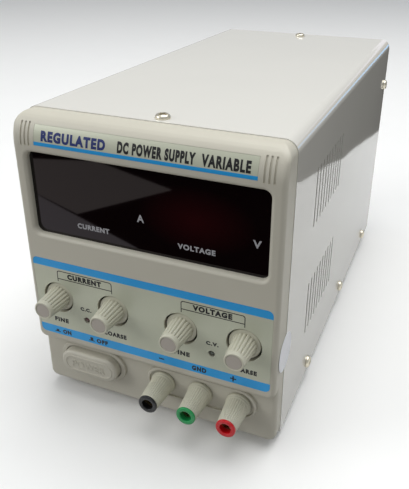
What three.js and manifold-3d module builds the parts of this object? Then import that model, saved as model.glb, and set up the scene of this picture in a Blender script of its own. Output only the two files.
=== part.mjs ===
// A single-output bench power supply, in millimetres.
// Every piece is modelled in the cabinet's frame: X to the right, Y from the front face towards the
// back, Z up from the cabinet's lower edge. The last section moves that frame to the part's origin,
// the centre of its footprint on the table.
import * as THREE from "three";
import { mergeVertices } from "three/addons/utils/BufferGeometryUtils.js";
import Module from "manifold-3d";

const wasm = await Module();
wasm.setup();

// ---------------------------------------------------------------- sizes

// Cabinet
const cabinetWidth = 130;
const cabinetHeight = 151;
const cabinetDepth = 261.5; // front face to the rear edge of the cover
const sheetThickness = 1; // folded steel cover
const chassisThickness = 1.2; // folded steel tray
const bendRadius = 6; // outside of the cover's two top bends
const fitGap = 0.1; // between pieces that touch or rest on each other

// Front bezel: an upper face at Y 0 and a lower face set back under a lip
const bezelDepth = 13;
const bezelInset = 0.2; // how far the bezel stays inside the cover's outline
const faceWall = 3.2;
const skirtWall = 2.2;
const stepDepth = 4.85; // how far the lower face is set back
const lipHeight = 29.8; // lower edge of the upper face
const edgeRound = 2.4;
const lowerCornerRadius = 4;
const innerCorner = 1; // of the bezel's hollow
const faceOverlap = 20; // how far the set-back block reaches up behind the upper face
const browDepth = 10; // the top of the face curves back over this depth ...
const browHeight = 14; // ... and this height

// Name strip and the three grooves at each end of it
const stripTop = cabinetHeight - 4.8;
const stripHeight = 9.3;
const stripWidth = cabinetWidth * 0.81;
const labelThickness = 0.25;
const labelRecess = 0.35;
const grooveCount = 3;
const grooveWidth = 0.9;
const grooveGap = 2.76; // from the strip's end to the first groove
const groovePitch = 2.1;
const grooveDepth = 0.5;
const grooveHeight = stripHeight + 1;

// Display window
const windowWidth = cabinetWidth * 0.9;
const windowHeight = cabinetHeight * 0.272;
const windowTop = stripTop - stripHeight - 3.8;
const windowCorner = 3.4;
const windowFlare = 1.2;
const glassThickness = 2;
const glassOverlap = 2; // how far the glass reaches behind the opening's edge
const windowCentre = windowTop - windowHeight / 2;

// Control label
const labelWidth = cabinetWidth - 5.6;
const labelBottom = lipHeight + 4.6;
const labelTop = windowTop - windowHeight - 13.4;
const labelHeight = labelTop - labelBottom;
const labelCorner = 2.6;

// Knobs and their potentiometers
const knobHeight = labelBottom + labelHeight * 0.52; // of the knobs' axes
const outerKnob = cabinetWidth * 0.379; // across, from the middle
const innerKnob = cabinetWidth * 0.139;
const knobHoleRadius = 8.5;
const knobReach = 13; // how far the knobs stand out of the face
const knobFlangeRadius = knobHoleRadius - 0.8;
const knobFlangeFront = 0.9;
const knobFlangeThickness = 1.8;
const knobBaseRadius = 5.9;
const knobNeckRadius = 4.95;
const knobCollarRadius = 4.8;
const knobCollarLength = 2;
const knobRound = 0.4; // of the collar's front edge
const knobRibs = 18;
const knobRibDepth = 0.6;
const knobCapRadius = 3.75;
const knobCapDepth = 0.9;
const knobCapRecess = 0.15; // how far the cap lies below the knob's front edge
const shaftRadius = 3;
const shaftClearance = 0.1;
const shaftReach = 9.5; // in front of the face
const shaftEndGap = 0.3;
const potRadius = 8.2;
const potDepth = 8.4;
const bushingRadius = shaftRadius + 0.9;
const bushingLength = 4;
const potFloor = 2; // behind the shaft's end

// Indicator lamps
const lampAcross = (outerKnob + innerKnob) / 2;
const lampHeight = knobHeight - 9.6;
const lampRadius = 1.5;
const lampHoleClearance = 0.15;
const lampTip = 0.5; // how far the lamp's tip lies behind the face
const lampFlangeHeight = 0.4;
const lampFlangeThickness = 1;

// Power button
const buttonAcross = -cabinetWidth * 0.2685;
const lowerRowHeight = 19.1; // of the button and of the output terminals
const buttonWidth = 33;
const buttonHeight = 13.7;
const buttonClearance = 0.45;
const buttonReach = 6.05; // in front of the lower face
const buttonWall = 1.8;
const buttonBevel = 1;
const buttonTravel = 3;
const buttonFlange = 1.2; // how far its retaining flange reaches behind the wall
const buttonFlangeThickness = 1.4;
const buttonFlangeGap = 0.25; // between that flange and the wall, at rest
const ringWidth = buttonWidth + 5.5;
const ringHeight = buttonHeight + 4.1;
const seatRise = 1.5; // of the ring and of the terminals' seat
const stemRadius = 3;
const switchWidth = 17;
const switchHeight = 14;
const switchDepth = 30;
const switchFront = 15;
const switchEarLength = 6;
const switchEarThickness = 1.5;
const switchBoreClearance = 0.4;
const stemOverlap = 3; // how far the button's stem reaches into the switch, at rest

// Output terminals
const terminalPitch = 20;
const terminalCentre = cabinetWidth * 0.2015;
const terminalReach = 18.65; // in front of the lower face
const tipLength = 1.2;
const tipRadius = 4.8;
const tipHoleRadius = 2.75;
const tipRound = 0.5;
const tipNeckRadius = 3.9;
const tipNeckLength = 2;
const studRadius = 3;
const socketRadius = 2;
const socketDepth = 16;
const studThreadClearance = 0.2;
const studHeadGap = 0.2; // between the stud's end and the screwed-on tip
const wireHoleRadius = 0.9;
const wireHoleReach = 1.2; // in front of the seat
const tagLength = 7; // the solder tag behind the nut
const sleeveBaseRadius = 5.8;
const sleeveFlangeRadius = sleeveBaseRadius + 0.6;
const sleeveFlangeThickness = 1.8;
const sleeveRibs = 30;
const sleeveRibDepth = 0.3;
const nutRadius = 5.5;
const nutThickness = 3;
const seatRim = 1.8;
const seatClearance = 0.35; // between a sleeve's flange and the seat's rim
const seatHeight = 2 * (sleeveFlangeRadius + seatClearance + seatRim);
const seatWidth = 2 * terminalPitch + seatHeight + 1.3;
const seatFloorDepth = 0.9;

// Boards behind the front
const boardThickness = 1.6;
const frontBoardY = 16;
const frontBoardWidth = cabinetWidth - 10;
const digitWidth = 37.6;
const digitHeight = 19;
const digitDepth = 8;
const currentDigitsAcross = -cabinetWidth * 0.21;
const voltageDigitsAcross = cabinetWidth * 0.19;
const bossRadius = 2.5;
const boardBelowLabel = 6; // the front board starts this far above the label's lower edge

// Chassis tray
const frontWallY = 24;
const rearWallY = cabinetDepth - 1.8;
const flangeDepth = 15;
const sideFlangeHeight = 12;
const standoffRadius = 3;
const standoffHeight = 8;
const standoffInset = 6; // from the board's edges
const cornerFlangeHalf = 12; // half the height of the tabs behind the upper side screws
const rearTopScrewInset = 10; // from the rear wall's outer face
const cornerScrewInset = 5.5;
const wiringHoleCorner = 4;
const cutClearance = 0.3; // around the pieces that pass through a wall

// Ventilation slots of the cover
const slotCount = 10;
const slotPitch = 6.1;
const slotWidth = 1.8;
const slotHeight = cabinetHeight * 0.204;
const slotFirst = cabinetDepth * 0.197;
const lowerSlotsBottom = cabinetHeight * 0.22;
const upperSlotsBottom = cabinetHeight * 0.631;

// Cover screws
const screwHeadRadius = 3.45;
const screwHeadHeight = 2;
const screwShankRadius = 1.6;
const screwLength = 6;
const screwHoleRadius = 1.8;
const screwCrossWidth = 0.9;
const topScrewY = 18.5;
const topScrewAcross = 2.9; // the front screw sits a little to the right
const sideScrewHeight = 6.5;
const cornerScrewHeight = cabinetHeight * 0.793;

// Power parts inside
const coreWidth = 96;
const coreHeight = 80;
const coreDepth = 48;
const coreLeg = 32; // width of the middle leg; the windows are half as wide
const coilOverhang = 15;
const coilCorner = 8;
const coilClearance = 0.3;
const transformerGap = 8; // between the coil and the main board
const transformerY = rearWallY - 70;
const mainBoardFront = 50;
const mainBoardBack = transformerY - coreDepth / 2 - coilOverhang - transformerGap;
const mainBoardWidth = cabinetWidth - 24;
const capacitorRadius = 15;
const capacitorHeight = 45;
const capacitorInset = 8; // from the board's edges
const rectifierSize = 28;
const rectifierHoleRadius = 2.5;
const rectifierHeight = 9;

// Rear
const sinkWidth = cabinetWidth * 0.85;
const sinkBottom = 44;
const sinkTop = cabinetHeight - 10;
const sinkMiddle = (sinkBottom + sinkTop) / 2;
const sinkBase = 4;
const sinkDepth = 21;
const finCount = 13;
const finThickness = 1.6;
const transistorWidth = 16;
const transistorHeight = 21;
const transistorDepth = 5;
const transistorMargin = 5; // of the rear wall's hole around the transistor
const inletAcross = -cabinetWidth * 0.25;
const inletHeight = 23;
const inletFlangeWidth = 50;
const inletFlangeHeight = 24;
const inletFlangeThickness = 2.4;
const inletBodyWidth = 28;
const inletBodyHeight = 20;
const inletDepth = 20;
const inletWall = 1.8;
const inletFloor = 2;
const inletCorner = 4;
const pinWidth = 2;
const pinHeight = 5;
const pinSpacing = 7;
const pinRecess = 3; // of the pins' ends below the inlet's mouth
const livePinDrop = 1.5;
const earthPinRise = 3.5;

// Feet
const footRadius = 8.5;
const footHeight = 5;
const footAcross = cabinetWidth / 2 - 14;
const footInset = 32; // from the front face and from the rear edge
const footTaper = 1.2;

// Round pieces are drawn with this many flats
const fewFlats = 10;
const someFlats = 14;
const manyFlats = 20;

const beyond = 5; // cutters run this far past what they cut
const overlap = 1; // pieces of one solid reach this far into each other

// ---------------------------------------------------------------- helpers

const acrossX = new THREE.Vector3(1, 0, 0);
const acrossY = new THREE.Vector3(0, 1, 0);
const acrossZ = new THREE.Vector3(0, 0, 1);

// A closed three.js geometry as a manifold-3d solid.
function solid(geometry) {
  const bare = geometry.index ? geometry.toNonIndexed() : geometry.clone();
  bare.deleteAttribute("normal");
  bare.deleteAttribute("uv");
  const merged = mergeVertices(bare, 1e-4);
  const mesh = new wasm.Mesh({
    numProp: 3,
    vertProperties: merged.attributes.position.array,
    triVerts: new Uint32Array(merged.index.array),
  });
  return new wasm.Manifold(mesh);
}

// A manifold-3d solid back as a three.js geometry.
function geometryOf(body) {
  const mesh = body.getMesh();
  const geometry = new THREE.BufferGeometry();
  geometry.setAttribute("position", new THREE.BufferAttribute(mesh.vertProperties, 3));
  geometry.setIndex(new THREE.BufferAttribute(mesh.triVerts, 1));
  return geometry;
}

function joined(solids) {
  return solids.reduce((whole, next) => whole.add(next));
}

function box(x0, x1, y0, y1, z0, z1) {
  const geometry = new THREE.BoxGeometry(x1 - x0, y1 - y0, z1 - z0);
  geometry.translate((x0 + x1) / 2, (y0 + y1) / 2, (z0 + z1) / 2);
  return solid(geometry);
}

// A front-view outline (X, Z) given depth from Y front to Y back.
function frontExtrusion(outline, front, back, options = {}) {
  const geometry = new THREE.ExtrudeGeometry(outline, {
    depth: back - front,
    bevelEnabled: false,
    curveSegments: 5,
    ...options,
  });
  geometry.applyMatrix4(
    new THREE.Matrix4().makeBasis(acrossX, acrossZ, acrossY.clone().negate()),
  );
  geometry.translate(0, back, 0);
  return solid(geometry);
}

// A side-view outline (Y, Z) given width from X left to X right.
function sideExtrusion(outline, left, right) {
  const geometry = new THREE.ExtrudeGeometry(outline, {
    depth: right - left,
    bevelEnabled: false,
    curveSegments: 7,
  });
  geometry.applyMatrix4(new THREE.Matrix4().makeBasis(acrossY, acrossZ, acrossX));
  geometry.translate(left, 0, 0);
  return solid(geometry);
}

// A plan-view outline (X, Y) given height from Z bottom to Z top.
function planExtrusion(outline, bottom, top) {
  const geometry = new THREE.ExtrudeGeometry(outline, {
    depth: top - bottom,
    bevelEnabled: false,
    curveSegments: 5,
  });
  geometry.translate(0, 0, bottom);
  return solid(geometry);
}

// A profile of [radius, y] points turned about the Y axis through (x, z).
function turned(profile, x, z, flats = someFlats) {
  const points = profile.map(([radius, y]) => new THREE.Vector2(radius, y));
  const geometry = new THREE.LatheGeometry(points, flats);
  geometry.translate(x, 0, z);
  return solid(geometry);
}

// A plain round bar along Y.
function bar(radius, front, back, x, z, flats = someFlats) {
  const profile = [
    [0, front],
    [radius, front],
    [radius, back],
    [0, back],
  ];
  return turned(profile, x, z, flats);
}

// The corner radius of a flat-sided hole in which a round piece of this radius turns freely.
function turningHole(radius, clearance, flats) {
  return (radius + clearance) / Math.cos(Math.PI / flats);
}

// A plain round bar along Z.
function pillar(radius, bottom, top, x, y, flats = someFlats) {
  const geometry = new THREE.CylinderGeometry(radius, radius, top - bottom, flats);
  geometry.rotateX(Math.PI / 2);
  geometry.translate(x, y, (bottom + top) / 2);
  return solid(geometry);
}

// A rectangle with rounded corners, about (x, z); the lower pair may have its own radius.
function roundedRectangle(width, height, x, z, radius, lowerRadius = radius) {
  const left = x - width / 2;
  const right = x + width / 2;
  const bottom = z - height / 2;
  const top = z + height / 2;
  const shape = new THREE.Shape();
  shape.moveTo(left + lowerRadius, bottom);
  shape.lineTo(right - lowerRadius, bottom);
  shape.absarc(right - lowerRadius, bottom + lowerRadius, lowerRadius, -Math.PI / 2, 0);
  shape.absarc(right - radius, top - radius, radius, 0, Math.PI / 2);
  shape.absarc(left + radius, top - radius, radius, Math.PI / 2, Math.PI);
  shape.absarc(left + lowerRadius, bottom + lowerRadius, lowerRadius, Math.PI, 1.5 * Math.PI);
  shape.closePath();
  return shape;
}

// An oblong with half-round ends.
function oblong(width, height, x, z) {
  const radius = height / 2;
  const middles = [x + width / 2 - radius, x - width / 2 + radius];
  const shape = new THREE.Shape();
  shape.moveTo(middles[1], z - radius);
  middles.forEach((middle, end) => {
    const start = (end - 0.5) * Math.PI;
    shape.absarc(middle, z, radius, start, start + Math.PI / 2);
    shape.absarc(middle, z, radius, start + Math.PI / 2, start + Math.PI);
  });
  shape.closePath();
  return shape;
}

// An outline of ridges between `radius` and `radius - depth`.
function ribbedOutline(radius, depth, ribs) {
  const shape = new THREE.Shape();
  for (let corner = 0; corner < 2 * ribs; corner++) {
    const r = corner % 2 === 0 ? radius : radius - depth;
    const angle = (corner * Math.PI) / ribs;
    const place = [r * Math.cos(angle), r * Math.sin(angle)];
    if (corner === 0) shape.moveTo(...place);
    else shape.lineTo(...place);
  }
  shape.closePath();
  return shape;
}

// A ribbed bar along Y that tapers from its full outline at the back to `frontShare` of it in front.
function ribbedBar(outline, frontShare, front, back, x, z) {
  const geometry = new THREE.ExtrudeGeometry(outline, {
    depth: back - front,
    bevelEnabled: false,
  });
  geometry.applyMatrix4(
    new THREE.Matrix4().makeBasis(acrossX, acrossZ, acrossY.clone().negate()),
  );
  geometry.translate(0, back, 0);
  const position = geometry.attributes.position;
  for (let i = 0; i < position.count; i++) {
    const share = position.getY(i) > (front + back) / 2 ? 1 : frontShare;
    position.setX(i, position.getX(i) * share);
    position.setZ(i, position.getZ(i) * share);
  }
  geometry.translate(x, 0, z);
  return solid(geometry);
}

const unit = new THREE.Group();
unit.name = "unit";

// Adds one named piece with its own material.
function piece(name, body, color, roughness, metalness = 0) {
  const material = new THREE.MeshStandardMaterial({ color, roughness, metalness });
  const mesh = new THREE.Mesh(geometryOf(body), material);
  mesh.name = name;
  unit.add(mesh);
  return mesh;
}

// ---------------------------------------------------------------- front bezel

const bezelWidth = cabinetWidth - 2 * bezelInset;
const bezelTop = cabinetHeight - 2 * bezelInset;
const browStart = bezelTop - browHeight;

// The space in front of the curved brow: everything ahead of an ellipse pulled in by `inset`.
function browCutter(inset, topInset) {
  const ahead = -beyond;
  const above = bezelTop + beyond;
  const shape = new THREE.Shape();
  shape.moveTo(ahead, browStart);
  shape.lineTo(inset, browStart);
  shape.absellipse(
    browDepth,
    browStart,
    browDepth - inset,
    browHeight - topInset,
    Math.PI,
    Math.PI / 2,
    true,
  );
  shape.lineTo(browDepth, above);
  shape.lineTo(ahead, above);
  shape.closePath();
  return sideExtrusion(shape, -cabinetWidth, cabinetWidth);
}

// A block with its front edges rounded, seen from the front as `outline`.
function roundedBlock(outline, front, back) {
  const rounding = {
    depth: back - front,
    bevelEnabled: true,
    bevelThickness: edgeRound,
    bevelSize: edgeRound,
    bevelOffset: -edgeRound,
    bevelSegments: 2,
    curveSegments: 4,
  };
  return frontExtrusion(outline, front + edgeRound, back + edgeRound, rounding);
}

function bezelBody() {
  const upperOutline = roundedRectangle(
    bezelWidth,
    bezelTop - lipHeight,
    0,
    (bezelTop + lipHeight) / 2,
    bendRadius,
    lowerCornerRadius,
  );
  const lowerTop = lipHeight + faceOverlap;
  const lowerOutline = roundedRectangle(
    bezelWidth,
    lowerTop,
    0,
    lowerTop / 2,
    lowerCornerRadius,
  );
  const upper = roundedBlock(upperOutline, 0, bezelDepth + beyond).subtract(browCutter(0, 0));
  const lower = roundedBlock(lowerOutline, stepDepth, bezelDepth + beyond);
  const rearCut = box(
    -cabinetWidth,
    cabinetWidth,
    bezelDepth,
    bezelDepth + 4 * beyond,
    -beyond,
    cabinetHeight + beyond,
  );
  return upper.add(lower).subtract(rearCut);
}

function bezelCavity() {
  const width = bezelWidth - 2 * skirtWall;
  const top = bezelTop - skirtWall;
  const upperBottom = lipHeight + faceWall;
  const upper = frontExtrusion(
    roundedRectangle(
      width,
      top - upperBottom,
      0,
      (top + upperBottom) / 2,
      bendRadius - skirtWall,
      innerCorner,
    ),
    faceWall,
    bezelDepth + beyond,
  ).subtract(browCutter(faceWall, skirtWall));
  const lowerCavityTop = upperBottom + overlap;
  const lower = frontExtrusion(
    roundedRectangle(
      width,
      lowerCavityTop - skirtWall,
      0,
      (lowerCavityTop + skirtWall) / 2,
      innerCorner,
    ),
    stepDepth + faceWall,
    bezelDepth + beyond,
  );
  return upper.add(lower);
}

// A band of the face between two depths below its surface, following the curved brow.
function faceBand(bottom, top, outer, inner, left, right) {
  const steps = 5;
  const surfaceDepth = (z) => {
    const up = Math.max(0, (z - browStart) / browHeight);
    return browDepth * (1 - Math.sqrt(Math.max(0, 1 - up * up)));
  };
  const shape = new THREE.Shape();
  for (let i = 0; i <= steps; i++) {
    const z = bottom + ((top - bottom) * i) / steps;
    if (i === 0) shape.moveTo(surfaceDepth(z) + inner, z);
    else shape.lineTo(surfaceDepth(z) + inner, z);
  }
  for (let i = steps; i >= 0; i--) {
    const z = bottom + ((top - bottom) * i) / steps;
    shape.lineTo(surfaceDepth(z) + outer, z);
  }
  shape.closePath();
  return sideExtrusion(shape, left, right);
}

const knobPlaces = {
  current_fine: -outerKnob,
  current_coarse: -innerKnob,
  voltage_fine: innerKnob,
  voltage_coarse: outerKnob,
};
const lampPlaces = { constant_current: -lampAcross, constant_voltage: lampAcross };
const terminalPlaces = {
  negative: terminalCentre - terminalPitch,
  ground: terminalCentre,
  positive: terminalCentre + terminalPitch,
};
const seatFace = stepDepth - seatRise;
const lampHoleRadius = lampRadius + lampHoleClearance;
const bossPlaces = [-1, 1].flatMap((side) => [
  [side * (frontBoardWidth / 2 - bossRadius), labelTop + bossRadius + overlap],
  [side * (frontBoardWidth / 2 - bossRadius), labelBottom + boardBelowLabel + bossRadius],
]);

function windowOpening() {
  const flare = {
    depth: faceWall + beyond,
    bevelEnabled: true,
    bevelThickness: windowFlare,
    bevelSize: -windowFlare,
    bevelOffset: windowFlare,
    bevelSegments: 2,
  };
  const outline = roundedRectangle(windowWidth, windowHeight, 0, windowCentre, windowCorner);
  return frontExtrusion(outline, windowFlare, faceWall + windowFlare + beyond, flare);
}

function grooveCutters() {
  const cutters = [];
  const middle = stripTop - stripHeight / 2;
  for (let i = 0; i < grooveCount; i++) {
    const across = stripWidth / 2 + grooveGap + groovePitch * i;
    for (const side of [-1, 1]) {
      cutters.push(
        faceBand(
          middle - grooveHeight / 2,
          middle + grooveHeight / 2,
          -beyond,
          grooveDepth,
          side * across - grooveWidth / 2,
          side * across + grooveWidth / 2,
        ),
      );
    }
  }
  return cutters;
}

function frontBezel() {
  const rises = [
    frontExtrusion(
      oblong(ringWidth, ringHeight, buttonAcross, lowerRowHeight),
      seatFace,
      stepDepth + overlap,
    ),
    frontExtrusion(
      oblong(seatWidth, seatHeight, terminalCentre, lowerRowHeight),
      seatFace,
      stepDepth + overlap,
    ),
  ];
  const bosses = bossPlaces.map(([x, z]) =>
    bar(bossRadius, faceWall - overlap, frontBoardY - fitGap, x, z, fewFlats),
  );
  const cuts = [
    windowOpening(),
    ...grooveCutters(),
    faceBand(
      stripTop - stripHeight,
      stripTop,
      -beyond,
      labelRecess,
      -stripWidth / 2 - fitGap,
      stripWidth / 2 + fitGap,
    ),
    frontExtrusion(
      roundedRectangle(
        labelWidth + 2 * fitGap,
        labelHeight + 2 * fitGap,
        0,
        (labelTop + labelBottom) / 2,
        labelCorner,
      ),
      -beyond,
      labelRecess,
    ),
    frontExtrusion(
      oblong(
        buttonWidth + 2 * buttonClearance,
        buttonHeight + 2 * buttonClearance,
        buttonAcross,
        lowerRowHeight,
      ),
      -beyond,
      bezelDepth,
    ),
    frontExtrusion(
      oblong(seatWidth - 2 * seatRim, seatHeight - 2 * seatRim, terminalCentre, lowerRowHeight),
      -beyond,
      seatFace + seatFloorDepth,
    ),
    ...Object.values(knobPlaces).map((x) =>
      bar(knobHoleRadius, -beyond, faceWall + overlap, x, knobHeight, manyFlats),
    ),
    ...Object.values(lampPlaces).map((x) =>
      bar(lampHoleRadius, -beyond, faceWall + overlap, x, lampHeight, fewFlats),
    ),
    ...Object.values(terminalPlaces).map((x) =>
      bar(studRadius + fitGap, 0, bezelDepth, x, lowerRowHeight, someFlats),
    ),
  ];
  const shell = joined([bezelBody(), ...rises]).subtract(bezelCavity());
  return joined([shell, ...bosses]).subtract(joined(cuts));
}

function nameStrip() {
  return faceBand(
    stripTop - stripHeight + fitGap,
    stripTop - fitGap,
    labelRecess - labelThickness - fitGap / 4,
    labelRecess - fitGap / 4,
    -stripWidth / 2,
    stripWidth / 2,
  );
}

function controlLabel() {
  const outline = roundedRectangle(
    labelWidth,
    labelHeight,
    0,
    (labelTop + labelBottom) / 2,
    labelCorner,
  );
  const back = labelRecess - fitGap / 4;
  const holes = [
    ...Object.values(knobPlaces).map((x) =>
      bar(knobHoleRadius + fitGap, -beyond, beyond, x, knobHeight, manyFlats),
    ),
    ...Object.values(lampPlaces).map((x) =>
      bar(lampHoleRadius, -beyond, beyond, x, lampHeight, fewFlats),
    ),
  ];
  return frontExtrusion(outline, back - labelThickness, back).subtract(joined(holes));
}

function displayGlass() {
  const outline = roundedRectangle(
    windowWidth + 2 * glassOverlap,
    windowHeight + 2 * glassOverlap,
    0,
    windowCentre,
    windowCorner,
  );
  return frontExtrusion(outline, faceWall + fitGap, faceWall + fitGap + glassThickness);
}

piece("front_bezel", frontBezel(), "#c6c6b8", 0.5);
piece("name_strip", nameStrip(), "#a9b09c", 0.45);
piece("control_label", controlLabel(), "#a4ab98", 0.45);
piece("display_window", displayGlass(), "#170809", 0.08);

// ---------------------------------------------------------------- knobs and potentiometers

function knob(x) {
  const front = -knobReach;
  const neck = front + knobCollarLength;
  const flangeBack = knobFlangeFront + knobFlangeThickness;
  const coreRadius = knobNeckRadius - 1.3 * knobRibDepth;
  const ribs = ribbedBar(
    ribbedOutline(knobBaseRadius, knobRibDepth, knobRibs),
    knobNeckRadius / knobBaseRadius,
    neck,
    knobFlangeFront + overlap / 2,
    x,
    knobHeight,
  );
  const core = turned(
    [
      [0, front],
      [knobCollarRadius - knobRound, front],
      [knobCollarRadius, front + knobRound],
      [knobCollarRadius, neck + overlap / 2],
      [coreRadius, neck + overlap / 2],
      [coreRadius, knobFlangeFront],
      [knobFlangeRadius, knobFlangeFront],
      [knobFlangeRadius, flangeBack],
      [0, flangeBack],
    ],
    x,
    knobHeight,
  );
  const capSeat = bar(knobCapRadius, front - beyond, front + knobCapDepth, x, knobHeight);
  const bore = bar(
    shaftRadius + shaftClearance,
    -shaftReach - shaftEndGap,
    flangeBack + beyond,
    x,
    knobHeight,
    fewFlats,
  );
  return core.add(ribs).subtract(capSeat).subtract(bore);
}

function knobCap(x) {
  const front = -knobReach + knobCapRecess;
  const back = -knobReach + knobCapDepth - fitGap / 2;
  return bar(knobCapRadius - fitGap, front, back, x, knobHeight);
}

const potBack = frontBoardY - fitGap;
const potFront = potBack - potDepth;

function potentiometer(x) {
  const body = turned(
    [
      [0, potFront - bushingLength],
      [bushingRadius, potFront - bushingLength],
      [bushingRadius, potFront],
      [potRadius, potFront],
      [potRadius, potBack],
      [0, potBack],
    ],
    x,
    knobHeight,
  );
  const bore = bar(
    turningHole(shaftRadius, shaftClearance, fewFlats),
    potFront - bushingLength - beyond,
    potBack - potFloor,
    x,
    knobHeight,
    fewFlats,
  );
  return body.subtract(bore);
}

function potShaft(x) {
  return bar(shaftRadius, -shaftReach, potBack - potFloor - fitGap, x, knobHeight, fewFlats);
}

for (const [name, x] of Object.entries(knobPlaces)) {
  piece(`${name}_knob`, knob(x), "#c2c2ae", 0.45);
  piece(`${name}_knob_cap`, knobCap(x), "#a89f98", 0.5);
  piece(`${name}_shaft`, potShaft(x), "#b9bcc0", 0.3, 1);
  piece(`${name}_potentiometer`, potentiometer(x), "#3c4a3f", 0.6);
}

// ---------------------------------------------------------------- indicator lamps

function lamp(x) {
  const shoulder = lampTip + lampRadius;
  const flangeFront = faceWall + lampRadius;
  const flangeBack = flangeFront + lampFlangeThickness;
  const wires = lampRadius - lampFlangeHeight;
  const boardFace = frontBoardY - fitGap;
  return turned(
    [
      [0, lampTip],
      [lampRadius * 0.7, lampTip + lampRadius * 0.3],
      [lampRadius, shoulder],
      [lampRadius, flangeFront],
      [lampRadius + lampFlangeHeight, flangeFront],
      [lampRadius + lampFlangeHeight, flangeBack],
      [wires, flangeBack],
      [wires, boardFace],
      [0, boardFace],
    ],
    x,
    lampHeight,
    fewFlats,
  );
}

for (const [name, x] of Object.entries(lampPlaces)) {
  piece(`${name}_lamp`, lamp(x), "#8d8a86", 0.25);
}

// ---------------------------------------------------------------- power button and switch

function powerButton() {
  const front = stepDepth - buttonReach;
  const wallBack = stepDepth + faceWall;
  const flangeFront = wallBack + buttonFlangeGap;
  const flangeBack = flangeFront + buttonFlangeThickness;
  const cap = frontExtrusion(
    oblong(buttonWidth, buttonHeight, buttonAcross, lowerRowHeight),
    front + buttonBevel,
    flangeBack + buttonBevel,
    {
      depth: flangeBack - front,
      bevelEnabled: true,
      bevelThickness: buttonBevel,
      bevelSize: buttonBevel,
      bevelOffset: -buttonBevel,
      bevelSegments: 1,
      curveSegments: 4,
    },
  ).subtract(box(-cabinetWidth, cabinetWidth, flangeBack, flangeBack + beyond, 0, cabinetHeight));
  const flange = frontExtrusion(
    oblong(
      buttonWidth + 2 * (buttonClearance + buttonFlange),
      buttonHeight + 2 * (buttonClearance + buttonFlange),
      buttonAcross,
      lowerRowHeight,
    ),
    flangeFront,
    flangeBack,
  );
  const hollow = frontExtrusion(
    oblong(
      buttonWidth - 2 * buttonWall,
      buttonHeight - 2 * buttonWall,
      buttonAcross,
      lowerRowHeight,
    ),
    front + buttonWall,
    flangeBack + beyond,
  );
  const stem = bar(
    stemRadius,
    front + overlap,
    switchFront + stemOverlap,
    buttonAcross,
    lowerRowHeight,
    fewFlats,
  );
  return cap.add(flange).subtract(hollow).add(stem);
}

function powerSwitch() {
  const body = box(
    buttonAcross - switchWidth / 2,
    buttonAcross + switchWidth / 2,
    switchFront,
    switchFront + switchDepth,
    lowerRowHeight - switchHeight / 2,
    lowerRowHeight + switchHeight / 2,
  );
  const ear = box(
    buttonAcross - switchWidth / 2 - switchEarLength,
    buttonAcross + switchWidth / 2 + switchEarLength,
    frontWallY - fitGap - switchEarThickness,
    frontWallY - fitGap,
    lowerRowHeight - switchHeight / 2 + overlap,
    lowerRowHeight + switchHeight / 2 - overlap,
  );
  const bore = bar(
    stemRadius + switchBoreClearance,
    switchFront - beyond,
    switchFront + stemOverlap + buttonTravel + overlap,
    buttonAcross,
    lowerRowHeight,
    fewFlats,
  );
  return body.add(ear).subtract(bore);
}

piece("power_button", powerButton(), "#c0c1b2", 0.5);
piece("power_switch", powerSwitch(), "#2b2c2e", 0.55);

// ---------------------------------------------------------------- output terminals

const terminalFront = stepDepth - terminalReach;
const tipBack = terminalFront + tipLength;
const neckBack = tipBack + tipNeckLength;
const seatFloor = seatFace + seatFloorDepth;

function terminalTip(x) {
  return turned(
    [
      [tipHoleRadius, terminalFront],
      [tipRadius - tipRound, terminalFront],
      [tipRadius, terminalFront + tipRound],
      [tipRadius, tipBack],
      [tipNeckRadius, tipBack],
      [tipNeckRadius, neckBack],
      [tipHoleRadius, neckBack],
      [tipHoleRadius, terminalFront],
    ],
    x,
    lowerRowHeight,
  );
}

function terminalSleeve(x) {
  const front = tipBack + fitGap;
  const flangeBack = seatFloor - 2 * fitGap;
  const flangeFront = flangeBack - sleeveFlangeThickness;
  const ribs = ribbedBar(
    ribbedOutline(sleeveBaseRadius, sleeveRibDepth, sleeveRibs),
    (tipRadius + fitGap) / sleeveBaseRadius,
    front,
    flangeFront + overlap / 2,
    x,
    lowerRowHeight,
  );
  const flange = bar(sleeveFlangeRadius, flangeFront, flangeBack, x, lowerRowHeight);
  const bore = bar(
    turningHole(studRadius, studThreadClearance, someFlats),
    front - beyond,
    flangeBack + beyond,
    x,
    lowerRowHeight,
  );
  const tipSeat = bar(
    turningHole(tipNeckRadius, fitGap, someFlats),
    front - beyond,
    neckBack + fitGap,
    x,
    lowerRowHeight,
  );
  return ribs.add(flange).subtract(bore).subtract(tipSeat);
}

function terminalStud(x) {
  const front = neckBack + studHeadGap;
  const nutFront = stepDepth + faceWall + fitGap;
  const nutBack = nutFront + nutThickness;
  const body = turned(
    [
      [0, front],
      [studRadius, front],
      [studRadius, nutFront],
      [nutRadius, nutFront],
      [nutRadius, nutBack],
      [socketRadius, nutBack],
      [socketRadius, nutBack + tagLength],
      [0, nutBack + tagLength],
    ],
    x,
    lowerRowHeight,
    fewFlats,
  );
  const socket = bar(
    socketRadius,
    front - beyond,
    front + socketDepth,
    x,
    lowerRowHeight,
    fewFlats,
  );
  const wireHole = pillar(
    wireHoleRadius,
    lowerRowHeight - studRadius - overlap,
    lowerRowHeight + studRadius + overlap,
    x,
    seatFace - wireHoleReach,
    fewFlats,
  );
  return body.subtract(socket).subtract(wireHole);
}

const tipColors = { negative: "#17181a", ground: "#2b9a5b", positive: "#d0202b" };
for (const [name, x] of Object.entries(terminalPlaces)) {
  piece(`${name}_terminal_tip`, terminalTip(x), tipColors[name], 0.35);
  piece(`${name}_terminal_sleeve`, terminalSleeve(x), "#bcbba8", 0.5);
  piece(`${name}_terminal_stud`, terminalStud(x), "#c7ab6a", 0.3, 1);
}

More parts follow.
